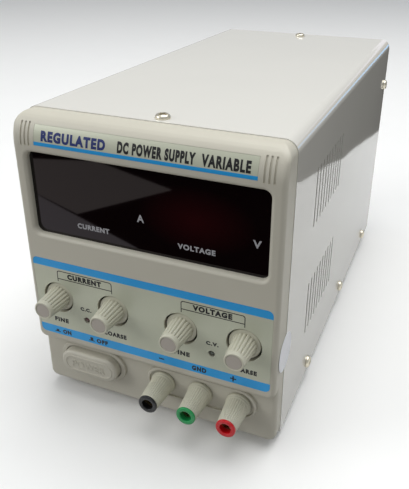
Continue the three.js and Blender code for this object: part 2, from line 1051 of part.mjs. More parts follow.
// ---------------------------------------------------------------- boards behind the front

function frontBoard() {
  return box(
    -frontBoardWidth / 2,
    frontBoardWidth / 2,
    frontBoardY,
    frontBoardY + boardThickness,
    labelBottom + boardBelowLabel,
    windowTop + glassOverlap,
  );
}

function digits(x) {
  return box(
    x - digitWidth / 2,
    x + digitWidth / 2,
    frontBoardY - fitGap - digitDepth,
    frontBoardY - fitGap,
    windowCentre - digitHeight / 2,
    windowCentre + digitHeight / 2,
  );
}

piece("front_board", frontBoard(), "#2f5a3a", 0.5);
piece("current_digits", digits(currentDigitsAcross), "#3a3536", 0.4);
piece("voltage_digits", digits(voltageDigitsAcross), "#3a3536", 0.4);

// ---------------------------------------------------------------- chassis tray

const chassisHalf = cabinetWidth / 2 - sheetThickness - fitGap;
const chassisTop = cabinetHeight - sheetThickness - fitGap;
const rearWallBack = rearWallY + chassisThickness;
const trayFront = bezelDepth + overlap;
const sideScrewYs = [0.24, 0.566, 0.881].map((share) => share * cabinetDepth);
const topScrewPlaces = [
  [topScrewAcross, topScrewY],
  [0, rearWallBack - rearTopScrewInset],
];
const cornerScrewY = rearWallBack - cornerScrewInset;
const mainBoardBottom = chassisThickness + standoffHeight;

function screwHoles(radius) {
  const reach = cabinetWidth;
  const sideHole = (y, z) => {
    const geometry = new THREE.CylinderGeometry(radius, radius, reach * 2, fewFlats);
    geometry.rotateZ(Math.PI / 2);
    geometry.translate(0, y, z);
    return solid(geometry);
  };
  return joined([
    ...sideScrewYs.map((y) => sideHole(y, sideScrewHeight)),
    sideHole(cornerScrewY, cornerScrewHeight),
    ...topScrewPlaces.map(([x, y]) =>
      pillar(radius, cabinetHeight - flangeDepth, cabinetHeight + beyond, x, y, fewFlats),
    ),
  ]);
}

// An upright wall of the tray, from the floor to the cover.
function trayWall(front) {
  const outline = roundedRectangle(
    2 * chassisHalf,
    chassisTop,
    0,
    chassisTop / 2,
    bendRadius,
    chassisThickness / 2,
  );
  return frontExtrusion(outline, front, front + chassisThickness);
}

function chassis() {
  const floor = box(-chassisHalf, chassisHalf, trayFront, rearWallBack, 0, chassisThickness);
  const flangeHalf = cabinetWidth * 0.3;
  const topFlange = (front, back) =>
    box(-flangeHalf, flangeHalf, front, back, chassisTop - chassisThickness, chassisTop);
  const sides = [-1, 1].flatMap((side) => {
    const inner = side * (chassisHalf - chassisThickness);
    const outer = side * chassisHalf;
    const low = Math.min(inner, outer);
    const high = Math.max(inner, outer);
    return [
      box(low, high, frontWallY, rearWallBack, 0, sideFlangeHeight),
      box(
        low,
        high,
        rearWallBack - flangeDepth,
        rearWallBack,
        cornerScrewHeight - cornerFlangeHalf,
        cornerScrewHeight + cornerFlangeHalf,
      ),
    ];
  });
  const standoffYs = [mainBoardFront + standoffInset, mainBoardBack - standoffInset];
  const standoffs = standoffYs.flatMap((y) =>
    [-1, 1].map((side) =>
      pillar(
        standoffRadius,
        chassisThickness / 2,
        mainBoardBottom - fitGap,
        side * (mainBoardWidth / 2 - standoffInset),
        y,
        fewFlats,
      ),
    ),
  );
  const wiring = frontExtrusion(
    roundedRectangle(
      cabinetWidth * 0.6,
      labelHeight,
      0,
      windowCentre - windowHeight / 2,
      wiringHoleCorner,
    ),
    frontWallY - overlap,
    frontWallY + chassisThickness + overlap,
  );
  // A hole through a wall for a piece of this size, with room around it.
  const wallHole = (wallFront, x, z, width, height, room) =>
    box(
      x - width / 2 - room,
      x + width / 2 + room,
      wallFront - overlap,
      wallFront + chassisThickness + overlap,
      z - height / 2 - room,
      z + height / 2 + room,
    );
  const switchHole = wallHole(
    frontWallY,
    buttonAcross,
    lowerRowHeight,
    switchWidth,
    switchHeight,
    cutClearance,
  );
  const transistorHole = wallHole(
    rearWallY,
    0,
    sinkMiddle,
    transistorWidth,
    transistorHeight,
    transistorMargin,
  );
  const inletHole = wallHole(
    rearWallY,
    inletAcross,
    inletHeight,
    inletBodyWidth,
    inletBodyHeight,
    cutClearance,
  );
  return joined([
    floor,
    trayWall(frontWallY),
    trayWall(rearWallY),
    topFlange(trayFront, frontWallY + chassisThickness),
    topFlange(rearWallBack - flangeDepth, rearWallBack),
    ...sides,
    ...standoffs,
  ]).subtract(
    joined([wiring, switchHole, transistorHole, inletHole, screwHoles(screwHoleRadius)]),
  );
}

piece("chassis", chassis(), "#b4b6b8", 0.4, 0.9);

// ---------------------------------------------------------------- top cover

function coverOutline() {
  const half = cabinetWidth / 2;
  const innerHalf = half - sheetThickness;
  const innerTop = cabinetHeight - sheetThickness;
  const innerBend = bendRadius - sheetThickness;
  const shape = new THREE.Shape();
  shape.moveTo(-half, 0);
  shape.lineTo(-innerHalf, 0);
  shape.lineTo(-innerHalf, innerTop - innerBend);
  shape.absarc(-innerHalf + innerBend, innerTop - innerBend, innerBend, Math.PI, Math.PI / 2, true);
  shape.absarc(innerHalf - innerBend, innerTop - innerBend, innerBend, Math.PI / 2, 0, true);
  shape.lineTo(innerHalf, 0);
  shape.lineTo(half, 0);
  shape.absarc(half - bendRadius, cabinetHeight - bendRadius, bendRadius, 0, Math.PI / 2);
  shape.absarc(-half + bendRadius, cabinetHeight - bendRadius, bendRadius, Math.PI / 2, Math.PI);
  shape.closePath();
  return shape;
}

function topCover() {
  const shell = frontExtrusion(coverOutline(), bezelDepth + fitGap, cabinetDepth);
  const slots = [];
  for (const bottom of [lowerSlotsBottom, upperSlotsBottom]) {
    for (let i = 0; i < slotCount; i++) {
      const y = slotFirst + i * slotPitch;
      slots.push(
        box(
          -cabinetWidth,
          cabinetWidth,
          y - slotWidth / 2,
          y + slotWidth / 2,
          bottom,
          bottom + slotHeight,
        ),
      );
    }
  }
  return shell.subtract(joined([...slots, screwHoles(screwHoleRadius)]));
}

piece("top_cover", topCover(), "#dedcd6", 0.3);

// ---------------------------------------------------------------- cover screws

// A cross-head screw along Y: its head in front of Y 0, its shank behind.
function screwBody() {
  const head = screwHeadHeight;
  const body = turned(
    [
      [0, -head],
      [screwHeadRadius * 0.7, -head],
      [screwHeadRadius, 0],
      [screwShankRadius, 0],
      [screwShankRadius, screwLength],
      [0, screwLength],
    ],
    0,
    0,
    fewFlats,
  );
  const arm = screwHeadRadius * 0.55;
  const half = screwCrossWidth / 2;
  const floor = -head * 0.45;
  const cross = box(-arm, arm, -head - beyond, floor, -half, half).add(
    box(-half, half, -head - beyond, floor, -arm, arm),
  );
  return body.subtract(cross);
}

const screwSolid = screwBody();
function screw(name, x, y, z, turnX, turnZ) {
  const mesh = piece(name, screwSolid, "#c9c5bb", 0.3, 1);
  mesh.position.set(x, y, z);
  mesh.rotation.set(turnX, 0, turnZ);
}

const quarter = Math.PI / 2;
const headGap = fitGap / 2;
for (const [index, word] of ["front", "rear"].entries()) {
  screw(`top_screw_${word}`, ...topScrewPlaces[index], cabinetHeight + headGap, -quarter, 0);
}
for (const [side, word, turn] of [
  [-1, "left", -quarter],
  [1, "right", quarter],
]) {
  const x = side * (cabinetWidth / 2 + headGap);
  sideScrewYs.forEach((y, i) => {
    screw(`${word}_screw_${i + 1}`, x, y, sideScrewHeight, 0, turn);
  });
  screw(`${word}_screw_4`, x, cornerScrewY, cornerScrewHeight, 0, turn);
}

// ---------------------------------------------------------------- power parts inside

const coreBottom = chassisThickness + fitGap;
const coreMiddle = coreBottom + coreHeight / 2;
const coreWindow = coreLeg / 2;
const coreWindowHeight = coreHeight - coreLeg;

function transformerCore() {
  const block = box(
    -coreWidth / 2,
    coreWidth / 2,
    transformerY - coreDepth / 2,
    transformerY + coreDepth / 2,
    coreBottom,
    coreBottom + coreHeight,
  );
  const windows = [-1, 1].map((side) => {
    const middle = side * (coreLeg / 2 + coreWindow / 2);
    return box(
      middle - coreWindow / 2,
      middle + coreWindow / 2,
      transformerY - coreDepth,
      transformerY + coreDepth,
      coreMiddle - coreWindowHeight / 2,
      coreMiddle + coreWindowHeight / 2,
    );
  });
  return block.subtract(joined(windows));
}

function transformerCoil() {
  const halfWidth = coreLeg / 2 + coreWindow - coilClearance;
  const halfDepth = coreDepth / 2 + coilOverhang;
  const halfHeight = coreWindowHeight / 2 - coilClearance;
  const outline = roundedRectangle(2 * halfWidth, 2 * halfDepth, 0, transformerY, coilCorner);
  const winding = planExtrusion(outline, coreMiddle - halfHeight, coreMiddle + halfHeight);
  const leg = box(
    -coreLeg / 2 - coilClearance,
    coreLeg / 2 + coilClearance,
    transformerY - coreDepth / 2 - coilClearance,
    transformerY + coreDepth / 2 + coilClearance,
    0,
    coreHeight,
  );
  return winding.subtract(leg);
}

function mainBoard() {
  return box(
    -mainBoardWidth / 2,
    mainBoardWidth / 2,
    mainBoardFront,
    mainBoardBack,
    mainBoardBottom,
    mainBoardBottom + boardThickness,
  );
}

const boardTop = mainBoardBottom + boardThickness + fitGap;

function smoothingCapacitor() {
  const x = mainBoardWidth / 2 - capacitorRadius - capacitorInset;
  const y = mainBoardFront + capacitorRadius + capacitorInset;
  return pillar(capacitorRadius, boardTop, boardTop + capacitorHeight, x, y, manyFlats);
}

function bridgeRectifier() {
  const x = -mainBoardWidth / 2 + rectifierSize;
  const y = (mainBoardFront + mainBoardBack) / 2;
  const half = rectifierSize / 2;
  const block = box(x - half, x + half, y - half, y + half, boardTop, boardTop + rectifierHeight);
  return block.subtract(pillar(rectifierHoleRadius, 0, cabinetHeight, x, y, fewFlats));
}

piece("transformer_core", transformerCore(), "#4a4744", 0.6, 0.6);
piece("transformer_coil", transformerCoil(), "#c9a13a", 0.6);
piece("main_board", mainBoard(), "#2f5a3a", 0.5);
piece("smoothing_capacitor", smoothingCapacitor(), "#23304c", 0.4);
piece("bridge_rectifier", bridgeRectifier(), "#1d1d1f", 0.5);

// ---------------------------------------------------------------- rear

const sinkFront = rearWallBack + fitGap;
const sinkBack = sinkFront + sinkDepth;

function heatSink() {
  const half = sinkWidth / 2;
  const pitch = (sinkWidth - finThickness) / (finCount - 1);
  const outline = new THREE.Shape();
  outline.moveTo(half, sinkFront);
  for (let fin = finCount - 1; fin >= 0; fin--) {
    const left = -half + fin * pitch;
    const right = left + finThickness;
    if (fin < finCount - 1) outline.lineTo(right, sinkFront + sinkBase);
    outline.lineTo(right, sinkBack);
    outline.lineTo(left, sinkBack);
    if (fin > 0) outline.lineTo(left, sinkFront + sinkBase);
  }
  outline.lineTo(-half, sinkFront);
  outline.closePath();
  return planExtrusion(outline, sinkBottom, sinkTop);
}

function passTransistor() {
  return box(
    -transistorWidth / 2,
    transistorWidth / 2,
    rearWallBack - transistorDepth,
    rearWallBack,
    sinkMiddle - transistorHeight / 2,
    sinkMiddle + transistorHeight / 2,
  );
}

// A mains inlet: flange, shrouded socket open to the back, and its three pins.
function powerInlet() {
  const flangeFront = rearWallBack + fitGap;
  const mouth = flangeFront + inletFlangeThickness;
  const bodyFront = mouth - inletDepth;
  const cavityFront = bodyFront + inletFloor;
  const flange = frontExtrusion(
    roundedRectangle(
      inletFlangeWidth,
      inletFlangeHeight,
      inletAcross,
      inletHeight,
      inletCorner,
    ),
    flangeFront,
    mouth,
  );
  const block = (width, height, front, back) =>
    box(
      inletAcross - width / 2,
      inletAcross + width / 2,
      front,
      back,
      inletHeight - height / 2,
      inletHeight + height / 2,
    );
  const body = block(inletBodyWidth, inletBodyHeight, bodyFront, flangeFront + overlap);
  const cavity = block(
    inletBodyWidth - 2 * inletWall,
    inletBodyHeight - 2 * inletWall,
    cavityFront,
    mouth + beyond,
  );
  const pinAt = (x, z) =>
    box(
      x - pinWidth / 2,
      x + pinWidth / 2,
      bodyFront + overlap,
      mouth - pinRecess,
      z - pinHeight / 2,
      z + pinHeight / 2,
    );
  const pins = [
    pinAt(inletAcross - pinSpacing, inletHeight - livePinDrop),
    pinAt(inletAcross + pinSpacing, inletHeight - livePinDrop),
    pinAt(inletAcross, inletHeight + earthPinRise),
  ];
  return joined([flange.add(body).subtract(cavity), ...pins]);
}

piece("heat_sink", heatSink(), "#2c2d2f", 0.5, 0.8);
piece("pass_transistor", passTransistor(), "#1b1b1d", 0.5);
piece("power_inlet", powerInlet(), "#202123", 0.5);

// ---------------------------------------------------------------- feet

function foot(x, y) {
  const geometry = new THREE.CylinderGeometry(
    footRadius,
    footRadius - footTaper,
    footHeight - fitGap,
    manyFlats,
  );
  geometry.rotateX(Math.PI / 2);
  geometry.translate(x, y, -footHeight / 2 - fitGap / 2);
  return solid(geometry);
}

const footRows = { front: footInset, rear: cabinetDepth - footInset };
for (const [row, y] of Object.entries(footRows)) {
  piece(`${row}_left_foot`, foot(-footAcross, y), "#262626", 0.8);
  piece(`${row}_right_foot`, foot(footAcross, y), "#262626", 0.8);
}

// ---------------------------------------------------------------- origin

const frontMost = terminalFront;
const rearMost = sinkBack;
unit.position.set(0, -(frontMost + rearMost) / 2, footHeight);

const powerSupply = new THREE.Group();
powerSupply.name = "bench_power_supply";
powerSupply.add(unit);

export default powerSupply;
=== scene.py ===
"""A bench power supply: its finishes and finely shaped pieces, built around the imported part."""

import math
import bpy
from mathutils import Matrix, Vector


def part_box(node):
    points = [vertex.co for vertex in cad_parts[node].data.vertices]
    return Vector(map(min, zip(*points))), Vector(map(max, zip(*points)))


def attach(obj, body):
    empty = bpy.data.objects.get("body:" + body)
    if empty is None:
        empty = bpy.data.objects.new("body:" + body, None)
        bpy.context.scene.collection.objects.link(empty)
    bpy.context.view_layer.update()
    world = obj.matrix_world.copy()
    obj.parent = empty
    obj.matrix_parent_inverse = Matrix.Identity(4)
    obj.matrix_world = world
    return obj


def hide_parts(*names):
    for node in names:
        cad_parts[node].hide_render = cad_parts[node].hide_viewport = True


bl_info = {
    "name": "Bench power supply",
    "version": (1, 0, 0),
    "blender": (4, 5, 0),
    "location": "3D View > Sidebar > Supply",
    "description": "Shapes and finishes a single-output bench power supply",
    "category": "Object",
}

from contextlib import contextmanager

import bmesh
import bpy
from bpy.props import FloatProperty, FloatVectorProperty, PointerProperty
from mathutils import Matrix, Vector

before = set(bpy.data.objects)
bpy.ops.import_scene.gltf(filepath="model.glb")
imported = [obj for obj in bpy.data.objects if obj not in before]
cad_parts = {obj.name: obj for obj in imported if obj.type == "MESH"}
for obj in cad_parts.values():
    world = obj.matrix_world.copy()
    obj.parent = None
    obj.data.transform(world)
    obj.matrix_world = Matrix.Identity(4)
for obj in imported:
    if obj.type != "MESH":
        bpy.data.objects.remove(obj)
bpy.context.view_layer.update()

MM = 0.001
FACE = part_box("front_bezel")[0]  # the front face and the cabinet's lower edge
FULL_TURN = 2 * math.pi
QUARTER = math.pi / 2


# --- sizes and colours


def linear(hex_colour):
    """An sRGB hex colour as linear red, green and blue."""
    shares = [int(hex_colour[i : i + 2], 16) / 255 for i in (0, 2, 4)]
    return tuple(s / 12.92 if s <= 0.04045 else ((s + 0.055) / 1.055) ** 2.4 for s in shares)


def size(name, description, default):
    """A length property; its default is in millimetres."""
    return FloatProperty(name=name, description=description, default=default * MM, unit="LENGTH")


def colour(name, description, default):
    """A colour property; its default is an sRGB hex value."""
    return FloatVectorProperty(
        name=name,
        description=description,
        default=linear(default),
        size=3,
        min=0,
        max=1,
        subtype="COLOR",
    )


class SupplySizes(bpy.types.PropertyGroup):
    """Roundings and small reliefs that only the finished look has."""

    edge_round: size("Edge rounding", "Radius along the bezel's front edges", 2.4)
    window_round: size("Window rounding", "Radius round the window's opening", 1.9)
    rim_round: size("Rim rounding", "Radius on the raised rims", 0.6)
    button_round: size("Button rounding", "Radius round the power button's face", 1.7)
    rib_depth: size("Knob rib depth", "Depth of the valleys between the knob's ribs", 0.75)
    print_height: size("Print height", "Thickness of the printed ink", 0.03)


class SupplyColours(bpy.types.PropertyGroup):
    """The colours of the parts that show."""

    bezel: colour("Bezel", "Moulded front bezel", "c9c5b6")
    cover: colour("Cover", "Enamelled steel cover", "dddbd3")
    label: colour("Label", "Printed front label", "c4c7b3")
    stripe: colour("Stripe", "Blue stripes of the labels", "24a2e8")
    ink: colour("Ink", "Printed words", "0b0b0e")
    dark_blue_ink: colour("Dark blue ink", "First word on the name strip", "14296b")
    window_ink: colour("Window ink", "Words on the display window", "a9a9ad")
    window: colour("Window", "Smoked display window", "0d0405")
    knob: colour("Knob", "Knobs and terminal sleeves", "cfcdba")
    knob_cap: colour("Knob cap", "Discs set in the knobs", "b8b0a6")
    negative: colour("Negative", "Tip of the negative terminal", "16171a")
    ground: colour("Ground", "Tip of the ground terminal", "1f9a55")
    positive: colour("Positive", "Tip of the positive terminal", "cf101c")


def sizes():
    """The sizes as they are set now."""
    return bpy.context.scene.supply_sizes


def colours():
    """The colours as they are set now."""
    return bpy.context.scene.supply_colours


# --- places


def point(x, y, z):
    """A place in the cabinet's millimetres: X right, Y back from the face, Z up, as metres."""
    return Vector((x * MM, FACE.y + y * MM, FACE.z + z * MM))


def in_cabinet(place):
    """A place in metres as the cabinet's millimetres."""
    return Vector((place.x, place.y - FACE.y, place.z - FACE.z)) / MM


def span(node):
    """The low and the high corner of a node's box, in the cabinet's millimetres."""
    return [in_cabinet(corner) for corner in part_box(node)]


def axis_of(node):
    """Where a round node's axis along Y lies, as X and Z in the cabinet's millimetres."""
    low, high = span(node)
    return (low.x + high.x) / 2, (low.z + high.z) / 2


# --- modelling helpers


def deselect():
    """Deselects everything, since an operator acts on all that is selected."""
    bpy.ops.object.select_all(action="DESELECT")


def only(made):
    """Selects this object and nothing else."""
    deselect()
    made.select_set(True)
    bpy.context.view_layer.objects.active = made


def named(made, name):
    """Names an object and its mesh alike."""
    made.name = name
    made.data.name = name
    return made


def settle(made, name):
    """Names a new object and puts its place into its mesh."""
    only(made)
    bpy.ops.object.transform_apply(location=True, rotation=True, scale=True)
    return named(made, name)


@contextmanager
def editing(made, kind="EDGE", start="DESELECT"):
    """Edit mode on one object, with nothing selected at the start, or everything."""
    only(made)
    bpy.ops.object.mode_set(mode="EDIT")
    bpy.ops.mesh.select_mode(type=kind)
    bpy.ops.mesh.select_all(action=start)
    yield bmesh.from_edit_mesh(made.data)
    bpy.ops.object.mode_set(mode="OBJECT")


def choose(shape, made, parts, wanted):
    """Selects the edges, faces or corners that `wanted` says yes to."""
    for part in parts:
        part.select_set(wanted(part))
    shape.select_flush_mode()
    bmesh.update_edit_mesh(made.data)


def box(name, x0, x1, y0, y1, z0, z1):
    """A block between two corners, in the cabinet's millimetres."""
    deselect()
    middle = point((x0 + x1) / 2, (y0 + y1) / 2, (z0 + z1) / 2)
    bpy.ops.mesh.primitive_cube_add(size=1, location=middle)
    made = bpy.context.object
    made.scale = Vector((x1 - x0, y1 - y0, z1 - z0)) * MM
    return settle(made, name)


def round_edges(made, wanted, radius, segments):
    """Rounds the edges whose two ends, in the cabinet's millimetres, `wanted` says yes to."""

    def is_wanted(edge):
        return wanted(*(in_cabinet(corner.co) for corner in edge.verts))

    with editing(made) as shape:
        choose(shape, made, shape.edges, is_wanted)
        bpy.ops.mesh.bevel(
            offset=radius * MM, segments=segments, affect="EDGES", clamp_overlap=False
        )


def along_y(a, b):
    """True for an edge that runs from front to back."""
    return abs(a.x - b.x) < 0.01 and abs(a.z - b.z) < 0.01


def at_y(y):
    """A test for edges that lie in the plane at this Y."""
    return lambda a, b: abs(a.y - y) < 0.01 and abs(b.y - y) < 0.01


def block(name, width, height, x, z, front, back, corner, segments=8):
    """A block seen from the front as a rectangle with rounded corners."""
    made = box(name, x - width / 2, x + width / 2, front, back, z - height / 2, z + height / 2)
    round_edges(made, along_y, corner, segments)
    return made


def oblong(name, width, height, x, z, front, back):
    """A block seen from the front as an oblong with half-round ends."""
    made = block(name, width, height, x, z, front, back, height / 2 - 0.005, 16)
    with editing(made, "VERT", "SELECT"):
        bpy.ops.mesh.remove_doubles(threshold=0.02 * MM)
    return made


def cylinder(name, radius, length, middle, turn, flats):
    """A round bar about its middle; without a turn it stands upright."""
    deselect()
    bpy.ops.mesh.primitive_cylinder_add(
        vertices=flats, radius=radius * MM, depth=length * MM, location=middle, rotation=turn
    )
    return settle(bpy.context.object, name)


def rod(name, radius, x, z, front, back, flats):
    """A round bar from front to back."""
    middle = point(x, (front + back) / 2, z)
    return cylinder(name, radius, back - front, middle, (QUARTER, 0, 0), flats)


def rods(names, kind, radius, front, back, flats):
    """Tools for the round holes that belong to like pieces."""
    return [rod("tool", radius, *axis_of(f"{name}_{kind}"), front, back, flats) for name in names]


def turned(name, profile, x, z, flats):
    """A profile of (radius, place) points spun about the axis through (x, z) along Y."""
    path = [point(x + radius, along, z) for radius, along in profile]
    centre = point(x, 0, z)
    deselect()
    bpy.ops.mesh.primitive_plane_add(size=MM, location=path[0])
    made = settle(bpy.context.object, name)
    with editing(made, "VERT", "SELECT"):
        bpy.ops.mesh.merge(type="CENTER")
        for here, there in zip(path, path[1:]):
            bpy.ops.mesh.extrude_vertices_move(TRANSFORM_OT_translate={"value": there - here})
        bpy.ops.mesh.select_all(action="SELECT")
        bpy.ops.mesh.spin(steps=flats, angle=FULL_TURN, center=centre, axis=(0, 1, 0))
        bpy.ops.mesh.select_all(action="SELECT")
        bpy.ops.mesh.remove_doubles(threshold=0.005 * MM)
        bpy.ops.mesh.normals_make_consistent(inside=False)
    return made


def joined(name, pieces):
    """Several objects as one mesh."""
    only(pieces[0])
    for other in pieces[1:]:
        other.select_set(True)
    if len(pieces) > 1:
        bpy.ops.object.join()
    return named(bpy.context.object, name)


def applied(made, kind, **settings):
    """Adds a modifier with these settings and applies it."""
    change = made.modifiers.new(kind.lower(), kind)
    for key, value in settings.items():
        setattr(change, key, value)
    only(made)
    bpy.ops.object.modifier_apply(modifier=change.name)
    return made


def combined(made, tool, operation):
    """A boolean of one object with a tool, which is used up."""
    applied(made, "BOOLEAN", operation=operation, solver="EXACT", object=tool)
    bpy.data.objects.remove(tool)
    return made


def cut(made, tools):
    """Takes tools that don't touch each other out of a piece."""
    return combined(made, joined("tools", tools), "DIFFERENCE")


def added(name, data):
    """A new object in the scene with this mesh, lamp or camera."""
    made = bpy.data.objects.new(name, data)
    bpy.context.scene.collection.objects.link(made)
    return named(made, name)


def copied(made, name, matrix):
    """A copy with its own mesh, moved in the mesh itself."""
    mesh = made.data.copy()
    mesh.transform(matrix)
    return added(name, mesh)


def copied_to(node, made, name, first):
    """A copy of a piece that was made about the first axis, moved to this node's axis."""
    x, z = axis_of(node)
    move = Vector((x - first[0], 0, z - first[1])) * MM
    return copied(made, name, Matrix.Translation(move))


def smooth(made, angle):
    """Smooth shading that stays flat on flat faces and sharp at edges over this many degrees."""
    only(made)
    bpy.ops.object.shade_smooth_by_angle(angle=math.radians(angle))
    return applied(made, "WEIGHTED_NORMAL", keep_sharp=True)


def finished(made, material, body, replaces=()):
    """Gives a piece its material, and says what it rides on and stands for."""
    made.data.materials.clear()
    made.data.materials.append(material)
    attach(made, body)
    if replaces:
        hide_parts(*replaces)
    return made


# --- material helpers

GLOSS_DRIFT = 0.12  # share by which the roughness drifts


def add_node(material, kind, settings=(), links=()):
    """Adds a node; a setting or link goes to the input of that name or number, or to a property."""
    node = material.node_tree.nodes.new(kind)
    for key, value in dict(settings).items():
        if isinstance(key, str) and hasattr(node, key):
            setattr(node, key, value)
        else:
            node.inputs[key].default_value = value
    for key, source in dict(links).items():
        material.node_tree.links.new(source, node.inputs[key])
    return node


def shader_of(material):
    """The material's main shader."""
    return next(n for n in material.node_tree.nodes if n.type == "BSDF_PRINCIPLED")


def link(material, source, key):
    """Feeds a node's output to an input of the main shader."""
    material.node_tree.links.new(source, shader_of(material).inputs[key])


def speckle(material, grain, detail=3.0):
    """Noise whose cells are about `grain` millimetres across."""
    where = add_node(material, "ShaderNodeTexCoord").outputs["Object"]
    return add_node(
        material,
        "ShaderNodeTexNoise",
        {"Scale": 1 / (grain * MM), "Detail": detail, "Roughness": 0.55},
        {"Vector": where},
    ).outputs["Fac"]


def shades(material, mask, first, second):
    """Two colours mixed by a mask from 0 to 1; each may be a colour or another node's output."""
    settings = {"data_type": "RGBA"}
    links = {0: mask}
    for key, value in ((6, first), (7, second)):
        if isinstance(value, tuple):
            settings[key] = (*value, 1)
        else:
            links[key] = value
    return add_node(material, "ShaderNodeMix", settings, links).outputs[2]


def scaled(base, share):
    """A colour made darker or lighter."""
    return tuple(min(1.0, part * share) for part in base)


def surface(name, base, roughness, metallic=0.0, grain=6.0, spread=0.04, relief=(0.3, 0.0)):
    """A surface whose colour and gloss drift over `grain` millimetres, with a fine relief given
    as its width and its height in millimetres."""
    material = bpy.data.materials.new(name)
    material.use_nodes = True
    shader_of(material).inputs["Metallic"].default_value = metallic
    if isinstance(base, str):
        base = linear(base)
    drift = speckle(material, grain)
    tint = shades(material, drift, scaled(base, 1 - spread), scaled(base, 1 + spread))
    link(material, tint, "Base Color")
    reach = {
        "To Min": roughness * (1 - GLOSS_DRIFT),
        "To Max": min(1.0, roughness * (1 + GLOSS_DRIFT)),
    }
    gloss = add_node(material, "ShaderNodeMapRange", reach, {"Value": drift})
    link(material, gloss.outputs[0], "Roughness")
    width, height = relief
    if height:
        grit = {"Height": speckle(material, width, 2.0)}
        bump = add_node(material, "ShaderNodeBump", {"Distance": height * MM}, grit)
        link(material, bump.outputs[0], "Normal")
    return material


def height_mask(material, low, high):
    """1 where the surface lies between two heights of the cabinet, in millimetres."""
    where = add_node(material, "ShaderNodeTexCoord").outputs["Object"]
    up = add_node(material, "ShaderNodeSeparateXYZ", links={0: where}).outputs["Z"]
    sides = {}
    for key, test, height in ((0, "GREATER_THAN", low), (1, "LESS_THAN", high)):
        settings = {"operation": test, 1: point(0, 0, height).z}
        sides[key] = add_node(material, "ShaderNodeMath", settings, {0: up}).outputs[0]
    both = add_node(material, "ShaderNodeMath", {"operation": "MULTIPLY"}, sides)
    return both.outputs[0]


# --- materials


def spark_textured_abs():
    """Injection-moulded ABS from a spark-eroded mould: satin, with a fine even grain. The real
    grain, 0.05 mm, is drawn at 0.35 mm so that it shows."""
    return surface(
        "spark_textured_abs", colours().bezel, 0.46, grain=25, spread=0.025, relief=(0.35, 0.006)
    )


def gloss_enamel():
    """Stoved gloss enamel on folded steel: hard reflections that waver a little, because the
    sheet isn't quite flat, and a faint orange peel of 2 mm."""
    material = surface("gloss_enamel", colours().cover, 0.045, grain=60, spread=0.02)
    peel = {"Height": speckle(material, 2.2, 1.0)}
    fine = add_node(material, "ShaderNodeBump", {"Distance": 0.0035 * MM}, peel)
    waves = {"Height": speckle(material, 45, 0.0), "Normal": fine.outputs[0]}
    broad = add_node(material, "ShaderNodeBump", {"Distance": 0.12 * MM}, waves)
    link(material, broad.outputs[0], "Normal")
    return material


def printed_polyester(name, band_heights):
    """Silver-grey polyester film printed on its back: a soft metallic sheen with a very fine
    speckle, and solid blue bands at the given heights."""
    material = surface(name, colours().label, 0.34, metallic=0.12, grain=0.5, spread=0.05)
    ground = shader_of(material).inputs["Base Color"].links[0].from_socket
    for low, high in band_heights:
        band = height_mask(material, low, high)
        ground = shades(material, band, ground, tuple(colours().stripe))
    link(material, ground, "Base Color")
    return material


def smoked_acrylic(lit):
    """Smoked red-black acrylic, polished: almost black, with a painted dim red glow in its colour
    where the digits in this box stand close behind it, in place of light seen through the glass."""
    material = surface("smoked_acrylic", colours().window, 0.035, grain=30, spread=0.1)
    shader = shader_of(material)
    shader.inputs["IOR"].default_value = 1.49
    middle = (lit[0] + lit[1]) / 2
    half = (lit[1] - lit[0]) / 2
    wide = half.x * 1.5
    high = half.z * 1.7
    where = add_node(material, "ShaderNodeTexCoord").outputs["Object"]
    centred = {
        "vector_type": "POINT",
        "Location": (-middle.x / wide, 0, -middle.z / high),
        "Scale": (1 / wide, 0, 1 / high),
    }
    place = add_node(material, "ShaderNodeMapping", centred, {"Vector": where}).outputs[0]
    # painted glow: a dim red mixed into the base colour round the digits, standing in for light
    # through the glass
    round_fade = {"gradient_type": "SPHERICAL"}
    painted_glow = add_node(material, "ShaderNodeTexGradient", round_fade, {"Vector": place})
    ground = shader.inputs["Base Color"].links[0].from_socket
    tint = shades(material, painted_glow.outputs["Fac"], ground, linear("2b080b"))
    link(material, tint, "Base Color")
    return material


def printing_ink(name, base):
    """Screen-printed ink: opaque and satin, with slightly uneven cover."""
    return surface(name, base, 0.5, grain=0.8, spread=0.12)


def moulded_plastic(name, base, roughness=0.4):
    """Injection-moulded ABS or nylon from a polished mould: smooth satin with faint flow marks."""
    return surface(name, base, roughness, grain=9, spread=0.04, relief=(0.5, 0.003))


def nickel_plate():
    """Nickel-plated steel screws: bright and slightly yellow, with tumbling marks."""
    return surface("nickel_plate", "e6dfcc", 0.36, metallic=1.0, grain=1.2, relief=(0.4, 0.01))


def zinc_plate():
    """Zinc-plated sheet steel: grey, with a soft spangle of about 6 mm and rolling lines."""
    return surface(
        "zinc_plate", "c3c5c4", 0.5, metallic=1.0, grain=6, spread=0.1, relief=(0.8, 0.004)
    )


def black_anodising():
    """Black anodised extruded aluminium: matt, slightly bluish, with fine drawing lines."""
    drawing_lines = (0.4, 0.01)
    return surface("black_anodising", "3b3c40", 0.5, 0.35, 4, 0.12, drawing_lines)


def turned_metal(name, base):
    """Turned brass or steel: bright, with fine tool marks."""
    return surface(name, base, 0.28, metallic=1.0, grain=1.5, spread=0.06, relief=(0.3, 0.006))


def moulded_rubber():
    """Moulded rubber feet: near black and matt, with a dusty bloom."""
    return surface("moulded_rubber", "242424", 0.82, grain=3, spread=0.25, relief=(0.5, 0.02))


